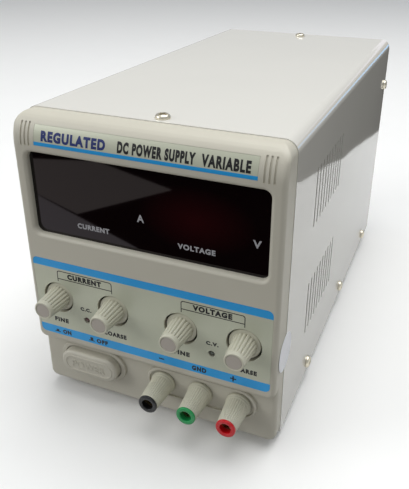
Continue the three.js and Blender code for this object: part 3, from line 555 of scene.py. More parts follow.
def laminated_iron():
    """Varnished transformer laminations: dark brown-grey. The edges of the 0.5 mm sheets are
    drawn as soft upright ridges 10 mm apart, so that they show."""
    material = surface("laminated_iron", "4b463f", 0.5, metallic=0.5, grain=5, spread=0.15)
    where = add_node(material, "ShaderNodeTexCoord").outputs["Object"]
    ridges = {
        "bands_direction": "Y",
        "Scale": 0.314 / (10 * MM),  # at a scale of 1 the ridges are 0.314 m apart
        "Distortion": 0.3,
    }
    sheets = add_node(material, "ShaderNodeTexWave", ridges, {"Vector": where})
    edges = {"Height": sheets.outputs["Fac"]}
    bump = add_node(material, "ShaderNodeBump", {"Distance": 0.06 * MM}, edges)
    link(material, bump.outputs[0], "Normal")
    return material


def winding_tape():
    """Yellow polyester tape round the winding: glossy, with wrinkles a few millimetres long."""
    return surface("winding_tape", "d2a437", 0.3, grain=8, spread=0.12, relief=(3.5, 0.12))


def green_solder_mask():
    """Glass-epoxy board under green solder mask: glossy, with darker copper-free islands."""
    return surface("green_solder_mask", "2b5a38", 0.35, grain=3.5, spread=0.3, relief=(1.2, 0.03))


def capacitor_sleeving():
    """Shrunk plastic sleeve on the smoothing capacitor: dark blue and glossy."""
    return surface("capacitor_sleeving", "22345c", 0.28, grain=10, spread=0.08, relief=(4, 0.03))


def seal_paper():
    """Thin matt paper with a slightly bluish white, a little rough."""
    return surface("seal_paper", "f4f6fb", 0.35, grain=1.5, spread=0.04, relief=(0.6, 0.01))


# --- front bezel

BEZEL_TOP = span("front_bezel")[1].z
BEZEL_DEPTH = 13.0
BROW_DEPTH = 10.0
BROW_HEIGHT = 14.0
BROW_STEPS = 18
LIP = 29.8  # height at which the upper part ends
STEP = 4.85  # how far the lower part stands back
WALL = 3.2
SKIRT = 2.2
UPPER_CORNER, LOWER_CORNER = 6, 4
RISE_FACE = 3.35  # front of the rises round the button and the terminals
RISE_FOOT = STEP + 1.2
BUTTON_RISE = (38.5, 17.8)
BUTTON_HOLE = (33.9, 14.6)
TERMINAL_RISE = (58.4, 17.1)
TERMINAL_HOLLOW = (55.6, 14.3)
TERMINAL_FLOOR = 4.25
WINDOW_WIDTH, WINDOW_CORNER = 117.0, 3.4
WINDOW = (92.03, 133.1)  # bottom and top, as are the next two
STRIP = (136.9, 146.2)
LABEL = (34.4, 78.6)
LABEL_WIDTH, LABEL_CORNER = 124.6, 2.6
STRIP_HALF = 52.75
RECESS = 0.35
GROOVES = (55.4, 2.1, 3)  # the first one's distance from the middle, their pitch, how many
GROOVE_HEIGHTS = (136.3, 146.8)
GROOVE_HALF, GROOVE_DEPTH = 0.45, 0.55
KNOB_HOLE, LAMP_HOLE, STUD_HOLE = 8.5, 1.65, 3.1
KNOBS = ("current_fine", "current_coarse", "voltage_fine", "voltage_coarse")
LAMPS = ("constant_current", "constant_voltage")
TERMINALS = ("negative", "ground", "positive")


def browed_box(name, half, front, back, bottom, top, depth, height):
    """A block whose top front edge is rounded to a quarter of an ellipse."""
    stretch = height / depth
    made = box(name, -half, half, front, front + (back - front) * stretch, bottom, top)

    def is_brow(a, b):
        return at_y(front)(a, b) and min(a.z, b.z) > top - 0.01

    round_edges(made, is_brow, height, BROW_STEPS)
    with editing(made, start="SELECT"):
        bpy.ops.transform.resize(value=(1, 1 / stretch, 1), center_override=point(0, front, 0))
    return made


def follow_brow(name, half, bottom, top, outer, inner, across=0.0):
    """A band of the face between two depths below its surface, following the brow. Without an
    outer depth it starts in front of the face."""
    beyond = {"half": 200, "back": 40, "bottom": -60, "top": BEZEL_TOP}
    brow = {"depth": BROW_DEPTH, "height": BROW_HEIGHT}
    band = box(name, across - half, across + half, -3, BEZEL_DEPTH, bottom, top)
    behind = browed_box("behind", front=inner, **beyond, **brow)
    band = combined(band, behind, "DIFFERENCE")
    if outer is not None:
        ahead = browed_box("ahead", front=outer, **beyond, **brow)
        band = combined(band, ahead, "INTERSECT")
    return band


def bent_to_brow(made, levels, share, lift=0.0):
    """Cuts a flat piece into level bands and moves them back so that it follows the brow. The
    share of the move depends on how far back a corner lies."""
    with editing(made):
        for level in levels:
            bpy.ops.mesh.select_all(action="SELECT")
            bpy.ops.mesh.bisect(plane_co=point(0, 0, level), plane_no=(0, 0, 1))
    start = BEZEL_TOP - BROW_HEIGHT
    for corner in made.data.vertices:
        place = in_cabinet(corner.co)
        up = min(1.0, max(0.0, (place.z - start) / BROW_HEIGHT))
        depth = BROW_DEPTH * (1 - math.sqrt(1 - up * up))
        corner.co.y += (depth * share(place.y) + lift) * MM
    return made


def upper_bezel(half, edge):
    """The part behind the labels, whose top bends back as the brow."""
    upper = box("front_bezel_shell", -half, half, 0, BEZEL_DEPTH, LIP, BEZEL_TOP)
    round_edges(upper, lambda a, b: along_y(a, b) and a.z > BEZEL_TOP - 1, UPPER_CORNER, 10)
    round_edges(upper, lambda a, b: along_y(a, b) and a.z < LIP + 1, LOWER_CORNER, 8)
    round_edges(upper, at_y(0), edge, 6)
    start = BEZEL_TOP - BROW_HEIGHT
    turns = [QUARTER * step / BROW_STEPS for step in range(BROW_STEPS)]
    slices = [start + BROW_HEIGHT * math.sin(turn) for turn in turns]
    rim = [in_cabinet(corner.co) for corner in upper.data.vertices]
    slices += [place.z for place in rim if place.y < 0.01 and start < place.z < BEZEL_TOP]
    return bent_to_brow(upper, slices, lambda y: 1 - y / BEZEL_DEPTH)


def rise(node, rise_size):
    """The raised oblong round this node."""
    made = oblong("rise", *rise_size, *axis_of(node), RISE_FACE, RISE_FOOT)
    round_edges(made, at_y(RISE_FACE), sizes().rim_round / MM, 4)
    return made


def bezel_shell():
    """The bezel's outside and inside, before its openings are cut."""
    half = span("front_bezel")[1].x
    edge = sizes().edge_round / MM
    shell = upper_bezel(half, edge)
    lower = box("lower", -half, half, STEP, BEZEL_DEPTH, 0, LIP + 20)
    round_edges(lower, along_y, LOWER_CORNER, 8)
    round_edges(lower, at_y(STEP), edge, 6)
    shell = combined(shell, lower, "UNION")
    rises = [rise("power_button", BUTTON_RISE), rise("ground_terminal_tip", TERMINAL_RISE)]
    shell = combined(shell, joined("rises", rises), "UNION")
    inside = half - SKIRT
    behind = 40  # well past the bezel's rear edge
    cavity = browed_box(
        "cavity",
        inside,
        WALL,
        behind,
        LIP + WALL,
        BEZEL_TOP - SKIRT,
        BROW_DEPTH - WALL,
        BROW_HEIGHT - SKIRT,
    )
    shell = combined(shell, cavity, "DIFFERENCE")
    lower_cavity = box("cavity", -inside, inside, STEP + WALL, behind, SKIRT, LIP + 10)
    return combined(shell, lower_cavity, "DIFFERENCE")


def window_hole(shell):
    """Cuts the display window's opening and rounds its front edge."""
    bottom, top = WINDOW
    height = top - bottom
    hole = block("hole", WINDOW_WIDTH, height, 0, (top + bottom) / 2, -5, 9, WINDOW_CORNER)
    shell = combined(shell, hole, "DIFFERENCE")
    near = 0.05

    def round_the_window(a, b):
        across = max(abs(a.x), abs(b.x)) < WINDOW_WIDTH / 2 + near
        up = bottom - near < min(a.z, b.z) and max(a.z, b.z) < top + near
        return at_y(0)(a, b) and across and up

    round_edges(shell, round_the_window, sizes().window_round / MM, 5)
    return shell


def bezel_openings():
    """Tools for the label recesses, grooves and large holes."""
    bottom, top = LABEL
    middle = (bottom + top) / 2
    terminals = axis_of("ground_terminal_tip")
    tools = [
        block("tool", LABEL_WIDTH, top - bottom, 0, middle, -3, RECESS, LABEL_CORNER),
        follow_brow("tool", STRIP_HALF, *STRIP, None, RECESS),
        oblong("tool", *BUTTON_HOLE, *axis_of("power_button"), -5, 12),
        oblong("tool", *TERMINAL_HOLLOW, *terminals, -5, TERMINAL_FLOOR),
    ]
    first, pitch, count = GROOVES
    for side in (-1, 1):
        for groove in range(count):
            across = side * (first + pitch * groove)
            tool = follow_brow("tool", GROOVE_HALF, *GROOVE_HEIGHTS, None, GROOVE_DEPTH, across)
            tools.append(tool)
    return tools


def bezel_bores():
    """Tools for the round holes of the knobs, lamps and terminals."""
    tools = rods(KNOBS, "knob", KNOB_HOLE, 0, WALL + 1, 64)
    tools += rods(LAMPS, "lamp", LAMP_HOLE, 0, WALL + 1, 24)
    return tools + rods(TERMINALS, "terminal_tip", STUD_HOLE, 2, 12, 32)


def make_bezel():
    """The moulded front bezel, with its openings cut last."""
    shell = window_hole(bezel_shell())
    shell = cut(shell, bezel_openings())
    shell = cut(shell, bezel_bores())
    smooth(shell, 40)
    finished(shell, spark_textured_abs(), "cabinet", ["front_bezel"])


# --- top cover

SHEET = 1.0
SLOT = (50.6, 52.4, 33.2, 64.0)  # the first one's front, back, bottom and top
SLOT_COUNT, SLOT_PITCH = 10, 6.1
SLOT_ROUND = 0.88
ROW_COUNT, ROW_PITCH = 2, 62.1


def make_cover():
    """The folded cover: top and two sides, with its groups of ventilation slots."""
    low, high = span("top_cover")
    shell = box("cover_shell", low.x, high.x, low.y, high.y, 0, high.z)
    round_edges(shell, lambda a, b: along_y(a, b) and a.z > high.z - 1, UPPER_CORNER, 14)

    def is_open(face):
        return abs(face.normal.y) > 0.9 or face.normal.z < -0.9

    with editing(shell, "FACE") as shape:
        choose(shape, shell, shape.faces, is_open)
        bpy.ops.mesh.delete(type="FACE")
    applied(shell, "SOLIDIFY", thickness=SHEET * MM, offset=-1, use_even_offset=True)
    slots = box("slots", -80, 80, *SLOT)
    round_edges(slots, lambda a, b: abs(a.x - b.x) > 1, SLOT_ROUND, 4)
    for count, step in ((SLOT_COUNT, (0, SLOT_PITCH, 0)), (ROW_COUNT, (0, 0, ROW_PITCH))):
        applied(
            slots,
            "ARRAY",
            count=count,
            use_relative_offset=False,
            use_constant_offset=True,
            constant_offset_displace=Vector(step) * MM,
        )
    shell = combined(shell, slots, "DIFFERENCE")
    smooth(shell, 30)
    finished(shell, gloss_enamel(), "cabinet", ["top_cover"])


# --- labels and print


def flat_text(words, width, height, x, z, y, heavy=0.07):
    """Printed words, standing on a face that looks to the front at depth y. Heavier letters
    stand further apart."""
    deselect()
    bpy.ops.object.text_add()
    text = bpy.context.object.data
    text.body = words
    text.offset = heavy
    text.space_character = 1 + 3.5 * heavy
    text.extrude = 0.5
    text.resolution_u = 4
    bpy.ops.object.convert(target="MESH")
    made = bpy.context.object
    low, high = Vector(made.bound_box[0]), Vector(made.bound_box[6])
    across, up, deep = high - low
    ink = sizes().print_height
    centre = Matrix.Translation(-(low + high) / 2)
    stretch = Matrix.Diagonal((width * MM / across, height * MM / up, ink / deep, 1))
    stand = Matrix.Rotation(QUARTER, 4, "X")
    place = Matrix.Translation(point(x, y - ink / MM / 2, z))
    made.data.transform(place @ stand @ stretch @ centre)
    return made


def stroke(x0, x1, z0, z1, y):
    """A printed line or patch with square ends."""
    return box("stroke", x0, x1, y - sizes().print_height / MM, y, z0, z1)


def title_frame(x0, x1, z0, z1, stem, y):
    """A thin printed frame with two rounded upper corners and a stem down each side."""
    line = 0.42
    outer = stroke(x0, x1, z0, z1, y)
    inner = box("inner", x0 + line, x1 - line, y - 1, y + 1, z0 + line, z1 - line)
    for made, top, radius in ((outer, z1, 1.3), (inner, z1 - line, 1.0)):
        round_edges(made, lambda a, b: along_y(a, b) and a.z > top - 0.1, radius, 5)
    frame_line = combined(outer, inner, "DIFFERENCE")
    stems = [stroke(left, left + line, stem, z0 + 0.02, y) for left in (x0, x1 - line)]
    return [frame_line, *stems]


def button_symbol(x, z, raised, y):
    """The printed sign for a button that is in, or out."""
    base_half, stem_half = 1.7, 0.8
    base_low, base_high = z - 1.1, z - 0.65
    stem_high = z + (1.1 if raised else 0.4)
    return [
        stroke(x - base_half, x + base_half, base_low, base_high, y),
        stroke(x - stem_half, x + stem_half, base_high - 0.01, stem_high, y),
    ]


def make_name_strip():
    """The name strip, curved with the brow, and its generic words."""
    bottom, top = STRIP
    gap = 0.1
    front, back = 0.07, 0.33  # the film's faces, sunk below the brow
    band = 1.75  # height of the blue band that shows
    sheet = follow_brow(
        "name_strip_sheet", STRIP_HALF - gap, bottom + gap, top - gap, front, back
    )
    smooth(sheet, 30)
    material = printed_polyester("name_strip_print_film", [(bottom - 1, bottom + band)])
    finished(sheet, material, "cabinet", ["name_strip"])
    black = (
        ("DC POWER SUPPLY", 36.0, 4.9, 8.1, 141.7, 0, 0.06),
        ("VARIABLE", 21.0, 4.9, 39.2, 141.7, 0, 0.05),
    )
    blue = (("REGULATED", 33.0, 4.7, -32.2, 141.6, 0, 0.06),)
    levels = [bottom + 1.8 + 0.8 * step for step in range(1, 8)]
    for name, texts, ink, tint in (
        ("name_strip_words", black, "black_strip_ink", colours().ink),
        ("name_strip_first_word", blue, "dark_blue_ink", colours().dark_blue_ink),
    ):
        words = joined(name, [flat_text(*text) for text in texts])
        bent_to_brow(words, levels, lambda y: 1, 0.05)
        finished(words, printing_ink(ink, tint), "cabinet")


def make_control_label():
    """The film behind the knobs, with holes for them and for the lamps."""
    low, high = span("control_label")
    middle = (low.z + high.z) / 2
    wide, tall = high.x - low.x, high.z - low.z
    film = block("label_film", wide, tall, 0, middle, low.y, high.y, LABEL_CORNER)
    tools = rods(KNOBS, "knob", KNOB_HOLE, -1, 2, 72) + rods(LAMPS, "lamp", LAMP_HOLE, -1, 2, 24)
    film = smooth(cut(film, tools), 30)
    blue_bands = [(74.4, 80), (30, 39.3)]
    material = printed_polyester("control_label_film", blue_bands)
    finished(film, material, "cabinet", ["control_label"])


def make_prints():
    """The words, frames and signs on the control label and on the window. Each word has its
    width and height, and the X and Z of its middle; each stroke its sides, bottom and top."""
    face = span("control_label")[0].y
    words = (
        ("CURRENT", 19.2, 3.0, -33.1, 70.9),
        ("VOLTAGE", 19.2, 3.0, 33.9, 70.8),
        ("FINE", 8.3, 2.6, -49.1, 43.9),
        ("COARSE", 12.9, 2.6, -17.9, 43.5),
        ("FINE", 8.3, 2.6, 18.4, 43.6),
        ("COARSE", 12.9, 2.6, 49.4, 43.2),
        ("C.C.", 6.3, 2.1, -33.7, 54.0),
        ("C.V.", 6.3, 2.1, 34.0, 53.5),
        ("ON", 5.1, 2.6, -46.7, 36.7),
        ("OFF", 6.5, 2.6, -25.8, 36.7),
        ("GND", 7.4, 2.8, 27.3, 36.8),
    )
    minus = (6.1, 8.9, 36.45, 37.15)
    plus = ((43.0, 46.0, 36.45, 37.15), (44.12, 44.88, 37.14, 38.3), (44.12, 44.88, 35.3, 36.46))
    ink = [
        *(flat_text(*word, face) for word in words),
        *(stroke(*line, face) for line in (minus, *plus)),
        *title_frame(-48.6, -17.7, 68.5, 73.3, 67.2, face),
        *title_frame(18.4, 49.6, 68.5, 73.1, 66.9, face),
        *button_symbol(-52.4, 36.8, False, face),
        *button_symbol(-31.9, 36.8, True, face),
    ]
    legend = joined("control_label_words", ink)
    finished(legend, printing_ink("black_ink", colours().ink), "cabinet")
    glass = span("display_window")[0].y
    marks = [
        flat_text("A", 3.6, 3.7, -2.0, 108.7, glass, 0.03),
        flat_text("CURRENT", 17.2, 2.7, -27.2, 98.8, glass, 0.045),
        flat_text("V", 3.8, 3.7, 52.6, 107.3, glass, 0.03),
        flat_text("VOLTAGE", 18.0, 2.7, 25.0, 99.0, glass, 0.045),
    ]
    marked = joined("display_window_words", marks)
    finished(marked, printing_ink("pale_window_ink", colours().window_ink), "cabinet")


def make_seal():
    """The blank round paper seal across the seam on the right side."""
    radius, thickness = 9.6, 0.12
    middle = point(65.08, 12.5, 49.5)
    seal = cylinder("blank_seal", radius, thickness, middle, (0, QUARTER, 0), 48)
    smooth(seal, 30)
    finished(seal, seal_paper(), "cabinet")


# --- knobs


def taper(foot, base, throat, neck):
    """The radius at each Y of a grip that narrows from its foot at base to its throat at neck."""
    return lambda y: foot + (throat - foot) * (base - y) / (base - neck)


def ribbed(made, rings, count, per_rib, radius_at, depth, x, z):
    """Pulls in the valleys between the ribs of a turned piece, on the given rings. The piece
    has per_rib flats for each rib; each valley's two neighbours follow a little."""
    pitch = FULL_TURN / count / per_rib

    def is_step(corner, steps):
        place = in_cabinet(corner.co)
        if not any(abs(place.y - ring) < 0.01 for ring in rings):
            return False
        offset = Vector((place.x - x, place.z - z))
        if abs(offset.length - radius_at(place.y)) > 0.05:
            return False
        return round(math.atan2(offset.y, offset.x) / pitch) % per_rib in steps

    radius = radius_at(sum(rings) / len(rings))
    with editing(made, "VERT") as shape:
        for steps, pull in (((0,), depth), ((1, per_rib - 1), depth * 0.22)):
            choose(shape, made, shape.verts, lambda corner: is_step(corner, steps))
            share = 1 - pull / radius
            bpy.ops.transform.resize(value=(share, 1, share), center_override=point(x, 0, z))


def knob_shape(x, z):
    """One knob: flange, tapered ribbed grip, collar, and a recess for its cap."""
    foot, base, throat, neck, front = 5.9, 0.9, 4.95, -10.6, -13.0
    radius_at = taper(foot, base, throat, neck)
    rings = [base, -3.4, -7.0, neck]
    ribs, per_rib = 18, 6
    profile = [(0, 2.7), (7.4, 2.7), (7.7, 2.4), (7.7, 1.3), (7.6, 1.0), (7.35, base)]
    profile += [(radius_at(y), y) for y in rings]
    profile += [(4.9, -10.95), (4.83, -11.3), (4.8, -12.4), (4.68, -12.8), (4.4, front)]
    profile += [(3.92, front), (3.8, -12.9), (3.78, -12.1), (0, -12.1)]
    made = turned("knob", profile, x, z, ribs * per_rib)
    ribbed(made, rings, ribs, per_rib, radius_at, sizes().rib_depth / MM, x, z)
    return smooth(made, 55)


def cap_shape(x, z):
    """The thin disc set into a knob's front."""
    profile = [(0, -12.15), (3.65, -12.15), (3.7, -12.3), (3.7, -12.72), (3.55, -12.86)]
    profile += [(3.2, -12.9), (0, -12.86)]
    return smooth(turned("cap", profile, x, z, 48), 35)


def make_knobs():
    """The four knobs and their caps, each modelled once and copied."""
    plastic = moulded_plastic("knob_abs", colours().knob, 0.36)
    disc = moulded_plastic("knob_cap_abs", colours().knob_cap, 0.42)
    first = axis_of(f"{KNOBS[0]}_knob")
    knob = knob_shape(*first)
    cap = cap_shape(*first)
    for name in KNOBS:
        node = f"{name}_knob"
        body = f"{name}_dial"
        grip = copied_to(node, knob, f"{name}_grip", first)
        finished(grip, plastic, body, [node])
        top = copied_to(node, cap, f"{name}_disc", first)
        finished(top, disc, body, [f"{node}_cap"])
    bpy.data.objects.remove(knob)
    bpy.data.objects.remove(cap)


# --- lamps


def make_lamps():
    """Two unlit indicator lamps, set just behind the label."""
    radius, front, steps = 1.5, 0.35, 6
    turns = [step * QUARTER / steps for step in range(steps + 1)]
    dome = [(radius * math.sin(turn), front + radius * (1 - math.cos(turn))) for turn in turns]
    profile = dome + [(radius, 4.6), (1.9, 4.6), (1.9, 5.6), (1.1, 5.6), (1.1, 15.8), (0, 15.8)]
    for name, tint in zip(LAMPS, ("6e4a4a", "60665d")):
        lamp = smooth(turned(f"{name}_bulb", profile, *axis_of(f"{name}_lamp"), 32), 40)
        material = moulded_plastic(f"{name}_epoxy", tint, 0.18)
        finished(lamp, material, "cabinet", [f"{name}_lamp"])


# --- power button

BUTTON = (33.0, 13.7)
PLATEAU = (28.2, 9.4)
PLATEAU_INSIDE = (26.6, 7.8)
PLATEAU_RISE = 0.28
BUTTON_WALL = 1.8
BUTTON_BACK = 9.7


def button_shell(x, z, front):
    """The hollow cap with its rounded face and the raised rim round its word."""
    made = oblong("power_button_cap", *BUTTON, x, z, front, BUTTON_BACK)
    round_edges(made, at_y(front), sizes().button_round / MM, 6)
    inwards = Vector((0, front + BUTTON_WALL - BUTTON_BACK, 0)) * MM
    with editing(made, "FACE") as shape:
        choose(shape, made, shape.faces, lambda face: face.normal.y > 0.9)
        bpy.ops.mesh.inset(thickness=BUTTON_WALL * MM)
        bpy.ops.mesh.extrude_region_move(TRANSFORM_OT_translate={"value": inwards})
    rim_front, rim_floor = front - PLATEAU_RISE, front - 0.02
    plateau = oblong("plateau", *PLATEAU, x, z, rim_front, front + 0.4)
    round_edges(plateau, at_y(rim_front), 0.25, 3)
    hollow = oblong("hollow", *PLATEAU_INSIDE, x, z, front - 1, rim_floor)
    round_edges(hollow, at_y(rim_floor), 0.2, 2)
    return combined(made, combined(plateau, hollow, "DIFFERENCE"), "UNION")


def make_button():
    """The oblong power button with its stem and its moulded word."""
    x, z = axis_of("power_button")
    front, back = (corner.y for corner in span("power_button"))
    shell = smooth(button_shell(x, z, front), 32)
    stem = smooth(rod("stem", 3.0, x, z, front + 1.2, back, 32), 32)
    made = joined("power_button_cap", [shell, stem])
    plastic = moulded_plastic("button_abs", colours().bezel, 0.4)
    finished(made, plastic, "power_push_button", ["power_button"])
    letters_back = front + 0.02
    word = flat_text("POWER", 19.5, 4.2, x, z, letters_back, 0.02)
    raise_print(word, letters_back, 0.3)
    finished(named(word, "power_button_word"), plastic, "power_push_button")


def raise_print(made, back, height):
    """Makes flat print stand up as moulded letters."""
    share = height * MM / sizes().print_height
    with editing(made, start="SELECT"):
        bpy.ops.transform.resize(value=(1, share, 1), center_override=point(0, back, 0))


# --- output terminals


def sleeve_shape(x, z):
    """A terminal's ribbed sleeve with its smooth foot ring and a bore for the stud."""
    base, throat, neck = 0.9, 4.85, -11.9
    radius_at = taper(5.8, base, throat, neck)
    rings = [base, -3.4, -7.6, neck]
    ribs, per_rib = 30, 4
    bore, rear = 3.3, 4.05
    profile = [(bore, rear), (6.2, rear), (6.4, 3.85), (6.4, 2.7), (6.3, 2.4), (6.1, 2.3)]
    profile += [(6.05, 1.6), (5.95, 1.35)]
    profile += [(radius_at(y), y) for y in (1.1, *rings)]
    profile += [(4.82, -12.15), (4.7, -12.4), (4.3, -12.5), (4.05, -12.5), (4.05, -10.4)]
    profile += [(bore, -10.4), (bore, rear)]
    made = turned("sleeve", profile, x, z, ribs * per_rib)
    ribbed(made, rings, ribs, per_rib, radius_at, 0.36, x, z)
    return smooth(made, 55)


def tip_shape(x, z):
    """The coloured ring in front of a sleeve, with its neck inside it."""
    profile = [(2.75, -13.35), (2.85, -13.6), (3.1, -13.76), (3.4, -13.8), (4.25, -13.8)]
    profile += [(4.55, -13.7), (4.74, -13.5), (4.8, -13.2), (4.8, -12.75), (4.7, -12.62)]
    profile += [(3.9, -12.6), (3.9, -10.65), (2.75, -10.65), (2.75, -13.35)]
    return smooth(turned("tip", profile, x, z, 56), 38)


def make_terminals():
    """The three terminals: like sleeves, and tips of three colours."""
    plastic = moulded_plastic("sleeve_abs", colours().knob, 0.4)
    tints = {
        "negative": (colours().negative, "tip_black"),
        "ground": (colours().ground, "tip_green"),
        "positive": (colours().positive, "tip_red"),
    }
    first = axis_of(f"{TERMINALS[0]}_terminal_tip")
    sleeve = sleeve_shape(*first)
    tip = tip_shape(*first)
    for name in TERMINALS:
        node = f"{name}_terminal_tip"
        grip = copied_to(node, sleeve, f"{name}_sleeve_grip", first)
        finished(grip, plastic, f"{name}_sleeve", [f"{name}_terminal_sleeve"])
        tint, slot = tints[name]
        ring = copied_to(node, tip, f"{name}_tip_ring", first)
        material = moulded_plastic(f"{name}_nylon", tint, 0.3)
        finished(ring, material, f"{name}_tip", [node])
    bpy.data.objects.remove(sleeve)
    bpy.data.objects.remove(tip)


# --- screws

HEAD_HEIGHT = 2.0
SCREW_TURNS = {"top": (-QUARTER, "X"), "left": (-QUARTER, "Z"), "right": (QUARTER, "Z")}


def screw_shape():
    """A pan-head screw at the origin: its head towards -Y, with a cross recess."""
    x, y, z = in_cabinet(Vector())
    head = [(0, -HEAD_HEIGHT), (1.9, -1.94), (2.6, -1.75), (3.1, -1.38), (3.35, -0.85)]
    shank = [(3.45, -0.25), (3.4, 0), (1.6, 0), (1.6, 6), (0, 6)]
    profile = [(radius, y + along) for radius, along in head + shank]
    made = turned("screw", profile, x, z, 40)
    arm, half, floor = 2.15, 0.5, y - 0.7
    level, upright = (
        box("bar", x - wide, x + wide, y - 5, floor, z - high, z + high)
        for wide, high in ((arm, half), (half, arm))
    )
    cross = combined(level, upright, "UNION")
    return smooth(combined(made, cross, "DIFFERENCE"), 35)


def make_screws():
    """The cover's screws, each seated under its head and stopped at its own angle."""
    material = nickel_plate()
    screw = screw_shape()
    sink = HEAD_HEIGHT * MM
    for index, name in enumerate(sorted(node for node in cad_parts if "_screw_" in node)):
        low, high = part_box(name)
        seat = (low + high) / 2
        side = name.split("_")[0]
        if side == "top":
            seat.z = high.z - sink
        elif side == "left":
            seat.x = low.x + sink
        else:
            seat.x = high.x - sink
        angle, axis = SCREW_TURNS[side]
        turn = Matrix.Rotation(angle, 4, axis)
        spin = Matrix.Rotation(math.radians(23 + 67 * index), 4, "Y")
        made = copied(screw, f"{name}_plated", Matrix.Translation(seat) @ turn @ spin)
        finished(made, material, "cabinet", [name])
    bpy.data.objects.remove(screw)


# --- feet


def foot_shape(tall):
    """A foot at the origin: its sole faces -Y, with a sunk screw seat."""
    x, y, z = in_cabinet(Vector())
    seat = 2.6
    sole = [(0, seat), (3.6, seat), (3.7, 0.3), (4.0, 0), (6.9, 0), (7.3, 0.2), (7.6, 0.7)]
    flange = [(8.3, tall - 1.4), (8.5, tall - 0.3), (8.3, tall), (0, tall)]
    profile = [(radius, y + along) for radius, along in sole + flange]
    return smooth(turned("foot", profile, x, z, 48), 35)


def make_feet():
    """The moulded rubber feet."""
    rubber = moulded_rubber()
    names = [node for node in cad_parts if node.endswith("_foot")]
    low, high = span(names[0])
    foot = foot_shape(high.z - low.z)
    upright = Matrix.Rotation(QUARTER, 4, "X")
    for name in names:
        low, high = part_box(name)
        place = Vector(((low.x + high.x) / 2, (low.y + high.y) / 2, low.z))
        made = copied(foot, f"{name}_rubber", Matrix.Translation(place) @ upright)
        finished(made, rubber, "cabinet", [name])
    bpy.data.objects.remove(foot)


# --- mains inlet

EAR = 20  # distance of the flange's screws from its middle


def inlet_shell(x, z, back):
    """The flange and the shrouded socket, two of whose corners are cut off."""
    flange = block("inlet_shell", 50, 24, x, z, back - 2.4, back, 4)
    round_edges(flange, at_y(back), 0.5, 3)
    body = box("body", x - 14, x + 14, back - 20, back - 1.2, z - 10, z + 10)
    shell = combined(flange, body, "UNION")
    socket = box("socket", x - 12.2, x + 12.2, back - 18, back + 3, z - 8.2, z + 8.2)
    round_edges(socket, lambda a, b: along_y(a, b) and a.z > z + 8, 4.2, 1)
    round_edges(socket, lambda a, b: along_y(a, b) and a.z < z - 8, 1.0, 4)
    shell = combined(shell, socket, "DIFFERENCE")
    seats = [rod("seat", 2.6, x + side * EAR, z, back - 1.0, back + 2, 32) for side in (-1, 1)]
    return smooth(cut(shell, seats), 32)


def inlet_pins(x, z, back):
    """Three flat blades that stand in the socket, their ends rounded."""
    blades = []
    tip = back - 3
    for across, up in ((-7, -1.5), (7, -1.5), (0, 3.5)):
        left, low = x + across - 1, z + up - 2.5
        blade = box("blade", left, left + 2, back - 18.5, tip, low, low + 5)
        round_edges(blade, at_y(tip), 0.6, 3)
        blades.append(blade)
    return smooth(joined("inlet_pins", blades), 32)


def inlet_screws(x, z, back):
    """Two countersunk screws with straight slots, in the flange's ears."""
    heads = []
    seat = back - 0.95
    profile = [(0, seat), (2.4, seat), (2.4, back - 0.3), (1.9, back + 0.1), (0, back + 0.15)]
    half_wide, half_high = 0.35, 1.9
    for middle in (x - EAR, x + EAR):
        head = turned("head", profile, middle, z, 32)
        sides = (middle - half_wide, middle + half_wide)
        slot = box("slot", *sides, back - 0.35, back + 2, z - half_high, z + half_high)
        heads.append(combined(head, slot, "DIFFERENCE"))
    return smooth(joined("inlet_screws", heads), 32)


def make_inlet():
    """The mains inlet on the rear: its shell, blades and screws."""
    back = span("power_inlet")[1].y
    axis = axis_of("power_inlet")
    nylon = moulded_plastic("inlet_nylon", "1d1e20", 0.42)
    finished(inlet_shell(*axis, back), nylon, "cabinet", ["power_inlet"])
    pin_metal = turned_metal("pin_nickel", "c9c7c0")
    finished(inlet_pins(*axis, back), pin_metal, "cabinet")
    finished(inlet_screws(*axis, back), nickel_plate(), "cabinet")


# --- pieces that keep their shape


def dress(names, material):
    """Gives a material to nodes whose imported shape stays."""
    for name in names:
        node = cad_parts[name]
        node.data.materials.clear()
        node.data.materials.append(material)


def soften(names, width):
    """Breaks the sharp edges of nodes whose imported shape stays."""
    for name in names:
        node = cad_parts[name]
        weld = node.modifiers.new("weld", "WELD")
        weld.merge_threshold = 0.001 * MM
        edge = node.modifiers.new("broken edges", "BEVEL")
        edge.limit_method = "ANGLE"
        edge.angle_limit = math.radians(50)
        edge.width = width * MM
        edge.segments = 2
        edge.use_clamp_overlap = True


def make_kept_pieces():
    """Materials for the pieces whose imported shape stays."""
    digits = ["current_digits", "voltage_digits"]
    dress(["display_window"], smoked_acrylic(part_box("voltage_digits")))
    dress(["chassis"], zinc_plate())
    dress(["heat_sink"], black_anodising())
    shafts = [f"{name}_shaft" for name in KNOBS]
    dress(shafts, turned_metal("turned_steel", "bfc1c4"))
    cases = [f"{name}_potentiometer" for name in KNOBS]
    dress(cases, moulded_plastic("phenolic_case", "3d4740", 0.5))
    studs = [f"{name}_terminal_stud" for name in TERMINALS]
    dress(studs, turned_metal("turned_brass", "bfa36a"))
    dress(["power_switch"], moulded_plastic("switch_nylon", "2a2b2d", 0.45))
    dress(["bridge_rectifier", "pass_transistor"], moulded_plastic("epoxy", "1c1c1e", 0.5))
    dress(digits, moulded_plastic("digit_case", "343032", 0.35))
    dress(["front_board", "main_board"], green_solder_mask())
    dress(["transformer_core"], laminated_iron())
    dress(["transformer_coil"], winding_tape())
    dress(["smoothing_capacitor"], capacitor_sleeving())
    soften(["heat_sink", "chassis"], 0.25)
    soften(["transformer_coil", "transformer_core", "bridge_rectifier"], 0.6)


# --- stage

